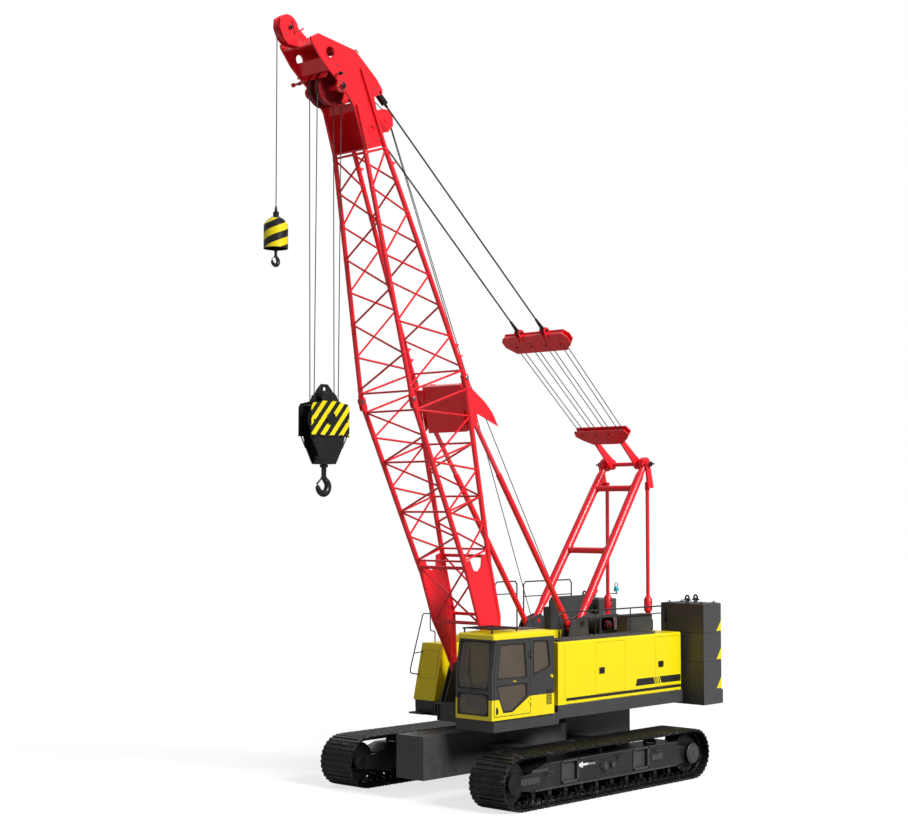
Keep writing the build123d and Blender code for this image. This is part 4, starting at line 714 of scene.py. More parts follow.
cab = {
    "side": 1.781, "front": 2.970, "frontTop": 2.850, "leanFrom": 2.700, "roofTop": 3.440,
    "seal": 0.022, "sealProud": 0.007, "corner": 0.07, "roofHalf": (0.985, 0.508), "roofMiddle": (1.905, 1.274),
    "roofUnder": 3.538, "roofEdge": 3.548, "crown": 0.040,
    "windows": {
        "quarter": ((1.056, 2.786), (1.134, 3.345), (1.628, 3.363), (1.631, 2.629)),
        "doorUpper": ((1.839, 2.600), (1.906, 3.334), (2.700, 3.334), (2.812, 2.620)),
        "doorLower": ((1.840, 2.197), (1.840, 2.480), (2.805, 2.480), (2.750, 2.224), (2.613, 1.921), (2.321, 1.911)),
        "doorEdge": ((1.735, 1.835), (1.735, 3.400), (2.790, 3.400), (2.900, 2.640), (2.900, 1.835)),
        "screen": ((0.815, 2.40), (0.815, 3.39), (1.671, 3.39), (1.671, 2.40)),
        "lowScreen": ((0.815, 1.855), (0.815, 2.297), (1.671, 2.297), (1.671, 1.855)),
    },
    "dark": (0.038, 0.038, 0.040, 1),
}


def roundedLoop(corners, radius, steps=6):
    # a polygon whose corners are curves between the points where an arc of the radius would meet the two sides
    corners = np.asarray(corners, float)
    before, after = np.roll(corners, 1, 0) - corners, np.roll(corners, -1, 0) - corners
    lengths = [np.linalg.norm(v, axis=1) for v in (before, after)]
    b, a = before / lengths[0][:, None], after / lengths[1][:, None]
    half = np.arccos(np.clip(np.sum(a * b, 1), -1, 1)) / 2
    reach = np.minimum(radius / np.tan(half), np.minimum(*lengths) * 0.48)
    start, end = corners + b * reach[:, None], corners + a * reach[:, None]
    t = np.linspace(0, 1, steps)[None, :, None]
    curve = (1 - t) ** 2 * start[:, None] + 2 * t * (1 - t) * corners[:, None] + t ** 2 * end[:, None]
    return curve.reshape(-1, 2)


def roundedPath(points, radius, steps):
    # an open run of straights whose corners are curves between points set back along both sides
    points = np.asarray(points, float)
    out = [points[:1]]
    for before, corner, after in zip(points, points[1:], points[2:]):
        a, b = before - corner, after - corner
        la, lb = np.linalg.norm(a), np.linalg.norm(b)
        reach = min(radius, la * 0.45, lb * 0.45)
        t = np.linspace(0, 1, steps)[:, None]
        start, end = corner + a / la * reach, corner + b / lb * reach
        out.append((1 - t) ** 2 * start + 2 * t * (1 - t) * corner + t ** 2 * end)
    return np.vstack(out + [points[-1:]])


def sealRing(window, rounder, toWorld):
    # a rounded rubber frame: five rings round the loop, two outside and three inside its edge, raised between
    corners, width, proud = cab["windows"][window], cab["seal"], cab["sealProud"]
    outer = roundedLoop(corners, 0.02)
    inner = roundedLoop(corners, cab["corner"] * rounder + 0.0001)
    away = inner - inner.mean(0)
    away /= np.linalg.norm(away, axis=1)[:, None]
    rings = [
        (outer + away * 0.012, -0.004), (outer + away * 0.012, proud * 0.7), (inner - away * width * 0.3, proud),
        (inner - away * width, proud * 0.6), (inner - away * width, -0.004),
    ]
    return np.vstack([toWorld(shape, h) for shape, h in rings]), [gridFaces(5, len(inner), True, True)]


def onSide(shape, h):
    # (x, z) points on the cab's left side
    return np.stack([shape[:, 0], np.full(len(shape), cab["side"] + h), shape[:, 1]], 1)


def onFront(shape, h):
    # (y, z) points on the cab's front, which leans back above a height
    lean = (cab["front"] - cab["frontTop"]) / (cab["roofTop"] - cab["leanFrom"])
    x = cab["front"] - np.maximum(0, shape[:, 1] - cab["leanFrom"]) * lean
    return np.stack([x + h, shape[:, 0], shape[:, 1]], 1)


def makeCabSeals():
    shell = [sealRing("quarter", 1, onSide), sealRing("screen", 1.3, onFront), sealRing("lowScreen", 2.2, onFront)]
    addPiece("cab_window_seals", merge(shell), "house", "rubberSeal")
    door = [sealRing(name, 1, onSide) for name in ("doorUpper", "doorLower")]
    addPiece("door_window_seals", merge(door), "cab_door", "rubberSeal")
    path = onSide(roundedLoop(cab["windows"]["doorEdge"], 0.03), -0.001)
    seam = sweep(circle(0.008, 6), path, closed=True, up=(0, 1, 0))
    addPiece("door_seam", seam, "house", "rubberSeal")


def cabPaint(t, place):
    # yellow below a line and on the roof, dark between: the line is the lower of two slopes, or the front's rise
    x, y, z = t.split(place)
    slope = t.math("MINIMUM", t.ramp(x, 0.90, 1.749, 2.505, 2.195), t.ramp(x, 1.749, 2.321, 2.195, 1.896))
    line = t.math("MAXIMUM", slope, t.ramp(x, 2.613, 2.746, 1.896, 2.185))
    dark = t.times(t.past(z, line), t.past(3.436, z))
    return t.mix(dark, paintOf("yellowPaint"), cab["dark"])


def makeCabRoof():
    # a crowned cap with rounded edges, whose height falls off as the sixth power of the distance from its middle
    u, v = np.meshgrid(np.linspace(-1, 1, 41), np.linspace(-1, 1, 31), indexing="ij")
    px, py = [middle + half * np.sign(w) * np.abs(w) ** 0.8
              for middle, half, w in zip(cab["roofMiddle"], cab["roofHalf"], (u, v))]
    crown = cab["roofEdge"] + cab["crown"] * (1 - np.abs(u) ** 6) * (1 - np.abs(v) ** 6)
    sheets = [np.stack([px, py, h], -1).reshape(-1, 3) for h in (crown, np.full(u.shape, cab["roofUnder"]))]
    rows, cols = u.shape
    rim = np.concatenate([
        np.arange(cols), np.arange(1, rows) * cols + cols - 1, (rows - 1) * cols + np.arange(cols - 2, -1, -1),
        np.arange(rows - 2, 0, -1) * cols])
    skirt = np.stack([rim, np.roll(rim, -1), np.roll(rim, -1) + rows * cols, rim + rows * cols], 1)
    grid = gridFaces(rows, cols)
    faces = [grid, grid[:, ::-1] + rows * cols, skirt[:, ::-1]]
    addPiece("cab_roof_cap", (np.vstack(sheets), faces), "house", "yellowPaint", angle=60)
    # guard of flat bars over the roof window, on four feet
    rows = [(x, x + 0.016, 0.86, 1.66, 3.645, 3.673) for x in np.arange(2.02, 2.84, 0.068)]
    rows += [(2.00, 2.86, y, y + 0.03, 3.635, 3.670) for y in (0.84, 1.24, 1.65)]
    rows += [(x, x + 0.03, y, y + 0.03, 3.56, 3.64) for x in (2.02, 2.80) for y in (0.85, 1.64)]
    rows.append((1.15, 1.75, 0.95, 1.55, 3.575, 3.602))
    addBoxes("roof_guard", rows, 0.004, "house", "darkPaint")


def makeCabFittings():
    # louver, door stop, latch and pull
    y = cab["side"]
    louvers = [(1.02, 1.20, y - 0.002, y + 0.010, z, z + 0.016) for z in np.arange(1.970, 2.29, 0.028)]
    addBoxes("cab_louver", louvers, 0.004, "house", "darkPaint")
    knob = [boss(1, (1.028, y, 2.566), [(0.040, -0.004), (0.040, 0.012), (0.030, 0.030), (0.014, 0.032)]),
            boss(1, (1.028, y, 2.566), [(0.022, 0.030), (0.022, 0.040), (0.010, 0.044)], 16)]
    addPiece("door_catch", merge(knob), "house", "yellowPaint")
    latch = [(2.20, 2.30, y - 0.002, y + 0.014, 2.530, 2.550), (2.235, 2.265, y, y + 0.026, 2.534, 2.546)]
    addBoxes("door_latch", latch, 0.003, "cab_door", "yellowPaint")
    recess = roundedLoop(((2.845, 1.878), (2.845, 2.030), (2.788, 2.030), (2.788, 1.878)), 0.025, 8)
    path = [(2.815, y + out, z) for out, z in ((0.006, 1.898), (0.030, 1.918), (0.030, 1.990), (0.006, 2.010))]
    grip = sweep(circle(0.010, 10), path, up=(1, 0, 0))
    addPiece("door_handle", merge([plate(recess, y - 0.002, y + 0.008, 0.006), grip]), "cab_door", "rubberSeal")
    # wiper standing on the lower edge of the screen, and the four mounts under the cab
    elbow = (2.936, 1.10, 2.96)
    blade = boxes([(-0.004, 0.008, -0.006, 0.006, -0.30, 0.26)], 0.002)
    wiper = [bar((2.985, 1.22, 2.36), (2.980, 1.22, 2.43), 0.014, 8), bar((2.985, 1.22, 2.40), elbow, 0.007, 6),
             moved(blade, frameAt(elbow, (1, 0, 0.162)))]
    addPiece("screen_wiper", merge(wiper), "house", "rubberSeal")
    mount = [(0.05, 0), (0.062, 0.01), (0.05, 0.03), (0.062, 0.05), (0.05, 0.058)]
    mounts = [post((x, y, 1.700), mount, 20) for x in (1.15, 2.55) for y in (0.90, 1.60)]
    addPiece("cab_mounts", merge(mounts), "house", "rubberSeal")


seat = {
    "lean": math.radians(12), "base": (1.62, 1.815),
    "cushions": {
        "seat_cushion": ((1.62, 2.235), (0.50, 0.50, 0.13), 0.030, False, 0.014),
        "seat_backrest": ((1.36, 2.58), (0.60, 0.48, 0.12), 0.025, True, 0.014),
        "seat_headrest": ((1.285, 2.98), (0.18, 0.26, 0.10), 0.012, True, 0.0),
    },
}


def makeCushion(name, centre, size, crown, axes, channels):
    # a closed pillow over a rounded square: its crown falls to the seam, with sewn channels pressed in
    count = 41
    u, v = np.meshgrid(np.linspace(-1, 1, count), np.linspace(-1, 1, count), indexing="ij")
    px = u * np.sqrt(1 - 0.18 * v ** 2 * np.abs(u) ** 6)
    py = v * np.sqrt(1 - 0.18 * u ** 2 * np.abs(v) ** 6)
    dome = (1 - np.abs(u) ** 5) ** 0.5 * (1 - np.abs(v) ** 5) ** 0.5
    groove = np.exp(-((np.abs(u) - 0.55) / 0.035) ** 2) * channels
    groove = groove + np.exp(-((v - 0.1) / 0.035) ** 2) * channels * (np.abs(u) < 0.55)
    upper = (size[2] * 0.45 + crown * (1 - u ** 2) * (1 - v ** 2) - groove) * dome
    lower = -size[2] * 0.5 * dome
    sheets = [np.stack([px * size[0] / 2, py * size[1] / 2, h], -1).reshape(-1, 3) for h in (upper, lower)]
    grid = gridFaces(count, count)
    points = np.vstack(sheets) @ np.asarray(axes, float) + centre
    piece = addPiece(name, (points, [grid, grid[:, ::-1] + count ** 2]), None, "seatCloth", angle=80)
    weld = piece.modifiers.new("weld", "WELD")
    weld.merge_threshold = 0.0005
    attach(piece, "house")


def makeSeat():
    low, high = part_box("cab_seat")
    midY = (low.y + high.y) / 2
    c, s = math.cos(seat["lean"]), math.sin(seat["lean"])
    lie, stand = np.eye(3), ((-s, 0, c), (0, 1, 0), (c, 0, s))
    for name, ((x, z), size, crown, upright, channels) in seat["cushions"].items():
        makeCushion(name, (x, midY, z), size, crown, stand if upright else lie, channels)
    x, z = seat["base"]
    rows = [(1.40, 1.84, midY - 0.21, midY + 0.21, 1.97, 2.165), (1.31, 1.36, midY - 0.05, midY + 0.05, 2.05, 2.95)]
    foot = post((x, midY, z), [(0.16, 0), (0.16, 0.02), (0.06, 0.05), (0.06, 0.12), (0.13, 0.14), (0.13, 0.16)])
    piece = addPiece("seat_frame", merge([foot, boxes(rows, 0.02)]), "house", "cabPlastic")
    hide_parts("cab_seat")


makeFinish("cabTwoTone", {
    "dust": 0.05, "tint": 0.03, "chips": 0.0, "gloss": (0.26, 0.38), "bump": 0.0005, "coat": 0.4, "metal": 0.0,
    "grain": 60.0}, cabPaint, 0.5)
wear("cabTwoTone", ("cab_shell", "cab_door"))
makeCabSeals()
makeCabRoof()
makeCabFittings()
makeSeat()
print("cab is dressed")

# upper works

hood = {
    "side": 1.722, "stripe": (-3.87, 0.445, 1.966, 2.037), "band": (-3.857, 2.110, 2.273),
    "bandTip": (-2.138, -2.082), "bars": (-3.123, -2.845), "barSlope": 0.45, "barWidth": 0.07,
    "seam": 0.49, "latchBack": 0.21, "latchZ": 2.56,
    "doors": {"front": -0.61, "rear": -2.85}, "walkway": (1.30, 1.65), "dark": (0.012, 0.012, 0.012, 1),
    "nodes": ("hood_left", "hood_right", "service_door_front_left", "service_door_rear_left",
              "service_door_front_right", "service_door_rear_right"),
}
weight = {
    "side": 2.206, "rear": -4.92, "wide": 0.26, "rows": ((3.27, 3.598), (2.593, 2.948), (1.902, 2.253)),
    "top": 3.935, "lug": ((-4.13, 3.80), (-4.13, 3.40), (-4.06, 3.30), (-3.99, 3.33), (-3.98, 3.42), (-4.05, 3.62),
                          (-4.09, 3.80)),
}


def hoodPaint(t, place):
    # a low stripe, a deeper band with a slanted front end, and slanted bars across it, all on the outer face only
    x, y, z = t.split(place)
    outer = t.past(t.math("ABSOLUTE", y), hood["side"] - 0.006)
    low = t.times(t.within(x, *hood["stripe"][:2]), t.within(z, *hood["stripe"][2:]))
    rear, bottom, top = hood["band"]
    tip = t.ramp(z, bottom, top, *hood["bandTip"][::-1])
    high = t.times(t.within(x, rear, tip), t.within(z, bottom, top))
    slanted = t.add(x, t.times(t.less(z, bottom), -hood["barSlope"]))
    wave = t.math("FRACT", t.times(t.less(slanted, hood["bars"][0]), 1 / hood["barWidth"]))
    light = t.times(t.within(slanted, *hood["bars"]), t.math("GREATER_THAN", wave, 0.5))
    high = t.times(high, t.less(1.0, light))
    mask = t.times(t.math("MAXIMUM", low, high), outer)
    return t.mix(mask, paintOf("yellowPaint"), hood["dark"])


def weightMarks(t, place):
    # yellow three-cornered marks on the ends' rear edges: each one's depth falls from its base to its tip
    x, y, z = t.split(place)
    outer = t.past(t.math("ABSOLUTE", y), weight["side"] - 0.012)
    mask = 0.0
    for base, tip in weight["rows"]:
        edge = t.ramp(z, base, tip, weight["rear"] + weight["wide"], weight["rear"])
        mask = t.math("MAXIMUM", mask, t.times(t.within(z, base, tip), t.past(edge, x)))
    return t.mix(t.times(mask, outer), paintOf("weightPaint"), paintOf("yellowPaint"))


def makeHoodFittings():
    # seams and door latches on both hoods, the walkway's folded edges on top, and covers on the right hood
    square = np.array([(-1, -1), (1, -1), (1, 1), (-1, 1)])
    for side, sign in (("left", 1), ("right", -1)):
        y = sign * hood["side"]
        span = (y - 0.002, y + sign * 0.0012)
        upright = (hood["seam"] - 0.003, hood["seam"] + 0.003, *span, 1.985, 3.225)
        addBoxes("hood_seams_" + side, [upright, (-3.87, 0.44, *span, 1.905, 1.911)], 0.0005, "house", "rubberSeal")
        for place, free in hood["doors"].items():
            x, z = free - hood["latchBack"], hood["latchZ"]
            on = lambda depth: y + sign * depth
            recess = plate(roundedLoop(square * (0.10, 0.072) + (x, z), 0.02, 5), on(0.004), on(0.014), 0.003)
            bow = ((-0.055, 0.010), (-0.050, 0.030), (0.03, 0.034), (0.055, 0.012))
            grip = sweep(roundedLoop(square * (0.012, 0.006), 0.004, 3), [(x + a, on(out), z) for a, out in bow])
            lock = boss(sign, (x + 0.06, hood["side"] + 0.012, z + 0.04), [
                (0.016, 0), (0.016, 0.010), (0.011, 0.013)], 20)
            door = f"service_door_{place}_{side}"
            addPiece(f"latch_{place}_{side}", merge([recess, grip, lock]), door, "machineBlack")
    y0, y1 = hood["walkway"]
    lips = [(-2.95, 0.60, *span, 3.268, 3.332) for span in ((y1 - 0.008, y1 + 0.002), (y0 - 0.002, y0 + 0.008))]
    lips += [(x, x + 0.006, y0, y1, 3.300, 3.316) for x in np.arange(-2.95, 0.62, 0.71)]
    addBoxes("walkway_edges", lips, 0.002, "house", "walkPlate")
    covers = [(x0, x1, -1.50, -1.02, 3.268, 3.286) for x0, x1 in ((-0.85, 0.15), (-1.95, -1.15))]
    addBoxes("hood_covers", covers, 0.006, "house", "yellowPaint")


# each rope's radius, and each drum's axis in X and Z, core and flange radii, and layers of rope
wire = {"radius": 0.011, "pendant": 0.020, "windingHalf": 0.348}
drums = {
    "main_drum": (-0.56, 2.48, 0.23, 0.38, 5), "aux_drum": (-1.85, 2.68, 0.20, 0.33, 4),
    "luffing_drum": (-2.76, 3.42, 0.18, 0.27, 3),
}


def rope(path, radius=wire["radius"], points=18, perLay=9):
    # six strands along straight runs: the profile dips with three times the angle, and twists once in seven diameters
    path = np.asarray(path, float)
    a = np.arange(points) * turn / points
    profile = np.stack([np.cos(a), np.sin(a)], 1) * (radius * (0.86 + 0.14 * np.abs(np.cos(3 * a))))[:, None]
    runs = np.linalg.norm(np.diff(path, axis=0), axis=1)
    lay = 14 * radius
    s = np.linspace(0, runs.sum(), max(2, int(runs.sum() / (lay / perLay))))
    reached = np.concatenate([[0], np.cumsum(runs)])
    along = np.stack([np.interp(s, reached, path[:, k]) for k in range(3)], 1)
    step = path[-1] - path[0]
    up = (0, 1, 0) if abs(step[1]) < 0.5 * np.linalg.norm(step) else (0, 0, 1)
    return sweep(profile, along, up=up, spin=s * turn / lay)


def makeWindings():
    # each drum's rope lies in turns side by side: a lathe whose profile is a row of half circles, closed on the core
    radius, half = wire["radius"], wire["windingHalf"]
    for node, (x, z, core, flange, layers) in drums.items():
        turns = int(2 * half / (2 * radius))
        a = np.linspace(math.pi, 0, 6)[:-1]
        level, start = core + radius * (2 * layers - 1), -turns * radius
        h = (start + radius + 2 * radius * np.arange(turns)[:, None] + radius * np.cos(a)[None]).ravel()
        r = np.tile(level + radius * np.sin(a), turns)
        profile = [(core - 0.004, start), *zip(r, h), (level, -start), (core - 0.004, -start)]
        addPiece(node + "_rope", lathe(profile, (x, 0, z), (0, 1, 0), 64), node, "wireRope", angle=70)
        low, high = flange - 0.002, flange + 0.012
        rims = []
        for side in both:
            rim = [(low, 0.0), (high, 0.004), (high, 0.026), (low, 0.030)]
            rims.append(lathe(rim, (x, 0.350 if side > 0 else -0.380, z), (0, 1, 0), 64))
            rims.append(copies(hexBolt(0.013, 0.014), boltRing(side, (x, 0.381, z), 0.105, 8)))
        addPiece(node + "_rims", merge(rims), node, "redPaint")


def makeWeightFittings():
    # shackles on the top weights' lugs, round plugs over the tie rods, and lifting lugs with two pins each
    a = np.linspace(-0.25, math.pi + 0.25, 15)
    shackles, plugs = [], []
    for sign in both:
        for x in (-4.70, -4.35):
            y, z = sign * 1.585, 4.000
            bow = np.stack([np.full(15, x), y + 0.052 * np.cos(a), z + 0.040 + 0.070 * np.sin(a)], 1)
            foot = bow[[0, -1]] * (1, 1, 0) + (0, 0, z - 0.005)
            shackles.append(sweep(circle(0.021, 10), np.vstack([foot[:1], bow, foot[1:]]), up=(1, 0, 0)))
            shackles.append(bar((x, y - 0.10, z), (x, y + 0.10, z), 0.018, 12))
        plugs += [post((x, sign * y, weight["top"]), [
            (0.060, -0.004), (0.060, 0.010), (0.050, 0.016), (0.016, 0.018), (0.016, 0.046), (0.010, 0.050),
        ]) for x in (-4.78, -4.27) for y in (1.12, 2.05)]
    addPiece("weight_shackles", merge(shackles), "house", "machineBlack")
    addPiece("weight_plugs", merge(plugs), "house", "darkPaint")
    lugs = [plate(weight["lug"], sign * 1.10 - 0.02, sign * 1.10 + 0.02) for sign in both]
    pins = [lathe([(0.024, -0.026), (0.024, 0.026)], (x, sign * 1.10, z), (0, 1, 0), 16)
            for sign in both for x, z in ((-4.075, 3.42), (-4.035, 3.36))]
    addPiece("weight_lugs", merge(lugs), "house", "machineBlack", smooth=False)
    addPiece("weight_lug_pins", merge(pins), "house", "zincBolt")


beaconPlace = (-4.86, -0.96, 4.045)


def makeDeckFittings():
    # hoses between the pump side and the winches, pipes to the front, and their clamps
    s = np.linspace(0, 1, 40)[:, None]
    hoses = []
    for k, y in enumerate((0.50, 0.54, -0.50, -0.54)):
        line = np.hstack([-1.30 + 1.08 * s, y + 0 * s, 1.92 + (0.10 + 0.03 * (k % 2)) * np.sin(math.pi * s)])
        hoses.append(sweep(circle(0.018, 10), line, up=(0, 1, 0)))
    hoses += [bar((0.10, y, 1.925), (1.90, y, 1.925), 0.016, 10) for y in (-0.30, -0.22, 0.22, 0.30)]
    clamps = [(x, x + 0.04, y - 0.03, y + 0.11, 1.90, 1.95) for x in (0.3, 0.95, 1.6) for y in (-0.30, 0.22)]
    addPiece("deck_hoses", merge(hoses), "house", "rubberSeal", angle=60)
    addBoxes("deck_clamps", clamps, 0.004, "house", "zincBolt")
    # beacon on an arm at the right weights' rear inner corner
    x, y, z = beaconPlace
    ring = [(x, y + 0.045 * math.cos(a), z + 0.235 + 0.05 * math.sin(a)) for a in np.arange(24) * turn / 24]
    stand = [boxes([(x - 0.03, x + 0.03, y - 0.24, y + 0.03, z - 0.001, z + 0.020)], 0.004),
             bar((x, y, z + 0.01), (x, y, z + 0.07), 0.014), sweep(circle(0.009, 8), ring, up=(1, 0, 0), closed=True)]
    addPiece("beacon_stand", merge(stand), "house", "darkPaint")
    lamp = [(0.045, 0.0), (0.062, 0.006), (0.062, 0.07), (0.055, 0.11), (0.035, 0.13), (0.008, 0.138)]
    addPiece("beacon_lamp", post((x, y, z + 0.065), lamp, 28), "house", "beaconGlass")


def makeBoxRail():
    # the right front box's rail: its way up the slanted front and down to the top in two steps
    y = -1.70
    path = [(1.60, y + 0.02, 2.42)] + [(x, y, z) for x, z in (
        (1.84, 2.46), (1.86, 2.54), (1.46, 3.735), (1.43, 3.79), (1.20, 3.79), (1.20, 3.39), (1.04, 3.37),
        (1.04, 3.12))]
    rails = [
        sweep(circle(0.014, 10), roundedPath(path, 0.05, 5), up=(0, 1, 0)),
        bar((1.47, y + 0.02, 2.93), (1.75, y, 2.90), 0.012, 8),
        lathe([(0.03, 0), (0.03, 0.012)], (1.475, y + 0.02, 2.93), (1, 0, 0.2), 14),
    ]
    addPiece("box_rail", merge(rails), "house", "darkPaint", angle=60)
    # the seam of the box's front cover, on a face that leans back as it rises
    seam = roundedLoop(((-1.66, 2.35), (-1.14, 2.35), (-1.14, 2.98), (-1.66, 2.98)), 0.03, 5)
    (lowX, lowZ), (highX, highZ) = (1.735, 1.866), (1.44, 3.13)
    lean = (lowX - highX) / (highZ - lowZ)
    front = np.stack([lowX - (seam[:, 1] - lowZ) * lean, seam[:, 0], seam[:, 1]], 1)
    strip = [(-0.004, -0.002), (0.004, -0.002), (0.004, 0.001), (-0.004, 0.001)]
    cover = sweep(strip, front, up=(lean, 0, 1), closed=True)
    addPiece("box_cover_seam", cover, "house", "rubberSeal", smooth=False)


makePattern("hoodPaint", "yellowPaint", hoodPaint)
makePattern("weightMarks", "weightPaint", weightMarks)
wear("hoodPaint", hood["nodes"])
wear("weightMarks", ("counterweight_blocks",))
makeHoodFittings()
makeWindings()
makeWeightFittings()
makeDeckFittings()
makeBoxRail()
print("upper works are dressed")

# boom, gear and ropes

boom = {
    "foot": (1.478, 0.0, 2.607), "angle": math.radians(71.756), "joint": 6.481, "head": 11.705,
    "chords": {"from": 2.6, "half": (0.690, 0.766, 0.458), "back": (0.447, 0.854, 0.291),
               "front": (0.347, 0.854, 0.291)},
    "cheek": 0.458, "mainShaft": (1.365, -0.575), "tipShaft": (2.715, -1.266), "mainReach": 0.335, "tipReach": 0.250,
    "mainLow": 8.03, "tipLow": 12.14, "headSpread": 0.118, "blockSpread": 0.060,
}
bridle = {
    "top": (-3.984, 0.0, 7.298), "angle": math.radians(40.26966), "length": 11.767331, "low": 1.160, "high": 4.275,
    "pitches": (0.400, 0.450), "halfRope": 0.075, "pendantY": 0.385, "pendantFrom": 4.675,
}
sheaveRow = np.arange(4) - 1.5


def lineFrame(origin, angle):
    # a matrix whose X runs up at an angle in the machine's middle plane, with its Y kept
    c, s = math.cos(angle), math.sin(angle)
    return np.array(((c, 0, -s, origin[0]), (0, 1, 0, origin[1]), (s, 0, c, origin[2]), (0, 0, 0, 1.0)))


def shift(place):
    matrix = np.eye(4)
    matrix[:3, 3] = place
    return matrix


boomFrame = lineFrame(boom["foot"], boom["angle"])
headFrame = boomFrame @ shift((boom["head"], 0, 0))
bridleFrame = lineFrame(bridle["top"], bridle["angle"])


def chordPoint(x, side, back):
    # the middle of a chord, straight between its known half widths and half depths at three stations
    chords = boom["chords"]
    stations = (chords["from"], boom["joint"], boom["head"])
    half = np.interp(x, stations, chords["half"])
    depth = np.interp(x, stations, chords["back" if back > 0 else "front"])
    return np.array((x, side * half, back * depth))


def makeBoomFittings():
    # weld collars where bars meet the chords, pin heads with keepers at the joint, and pegs on the back chords
    collars, pins, keepers, pegs, caps = [], [], [], [], []
    joint, first = boom["joint"], boom["joint"] + 0.26
    lower = 2.7 + np.arange(7) * (joint - boom["chords"]["from"] - 0.35) / 6
    upper = first + np.arange(8) * (boom["head"] - 0.09 - first) / 7
    for side in both:
        for back in both:
            for stations, radius in ((lower, 0.0575), (upper, 0.0530)):
                rim, floor = radius + 0.0025, radius - 0.002
                for x in stations:
                    a, b = chordPoint(x - 0.045, side, back), chordPoint(x + 0.045, side, back)
                    collars.append(lathe([(floor, 0), (rim, 0.012), (rim, 0.078), (floor, 0.09)], a, b - a, 16))
            _, y, z = chordPoint(joint - 0.001, 1, back)
            pins.append(boss(side, (joint, y + 0.060, z), [
                (0.030, 0), (0.047, 0.003), (0.047, 0.016), (0.036, 0.022), (0.010, 0.023)], 20))
            pins.append(boss(-side, (joint, 0.060 - y, z), [
                (0.030, 0), (0.043, 0.003), (0.043, 0.010), (0.010, 0.012)], 20))
            out = side * (y + 0.068)
            keepers.append(bar((joint - 0.055, out, z), (joint + 0.055, out, z), 0.006, 8))
        for x in (6.95, 7.20, 11.30):
            _, y, z = chordPoint(x, side, 1)
            pegs.append(bar((x, y, z + 0.04), (x, y, z + 0.15), 0.020, 10))
            pegs.append(boxes([(x - 0.045, x + 0.045, y - 0.03, y + 0.03, z + 0.03, z + 0.075)]))
        # foot pins on the deck's plates, with their locking plates
        x, _, z = boom["foot"]
        caps.append(boss(side, (x, 0.737, z), [
            (0.030, 0), (0.066, 0.004), (0.066, 0.020), (0.050, 0.028), (0.010, 0.030)]))
        caps.append(boxes([(x - 0.10, x - 0.045, side * 0.732, side * 0.745, z - 0.027, z + 0.027)], 0.003))
    addPiece("boom_weld_collars", moved(merge(collars), boomFrame), "boom", "redPaint", angle=50)
    addPiece("boom_joint_pins", moved(merge(pins), boomFrame), "boom", "zincBolt")
    addPiece("boom_joint_keepers", moved(merge(keepers), boomFrame), "boom", "machineBlack")
    addPiece("boom_foot_pins", merge(caps), "house", "machineBlack")
    addPiece("boom_pegs", moved(merge(pegs), boomFrame), "boom", "redPaint")


def makeHeadCovers():
    # guards over the main sheaves: an arc of plate round their shaft, in strips that leave the falls a gap
    cheek, (shaftX, shaftZ) = boom["cheek"], boom["mainShaft"]
    arc = np.radians(np.linspace(-50, 38, 23))
    sheets = []
    for y0, y1 in ((-0.40, -0.165), (-0.072, 0.072), (0.165, 0.40)):
        edges = ((0.382, y0), (0.382, y1), (0.394, y1), (0.394, y0))
        rings = [np.stack([shaftX + r * np.cos(arc), np.full(23, y), shaftZ + r * np.sin(arc)], 1) for r, y in edges]
        sheets.append((np.stack(rings, 1).reshape(-1, 3), tubeFaces(23, 4)))
    # the plate over the head behind the nose, and the plugs in its round holes
    sheets.append(plate(((2.455, -0.84), (2.05, -0.01), (2.035, -0.02), (2.44, -0.85)), -0.440, 0.440, 0.002))
    plug = [(0.076, 0), (0.076, 0.012), (0.070, 0.016)]
    sheets += [boss(side, (0.375, cheek - 0.006, 0.0), plug, 28) for side in both]
    addPiece("head_covers", moved(merge(sheets), headFrame), "boom", "redPaint", smooth=False)


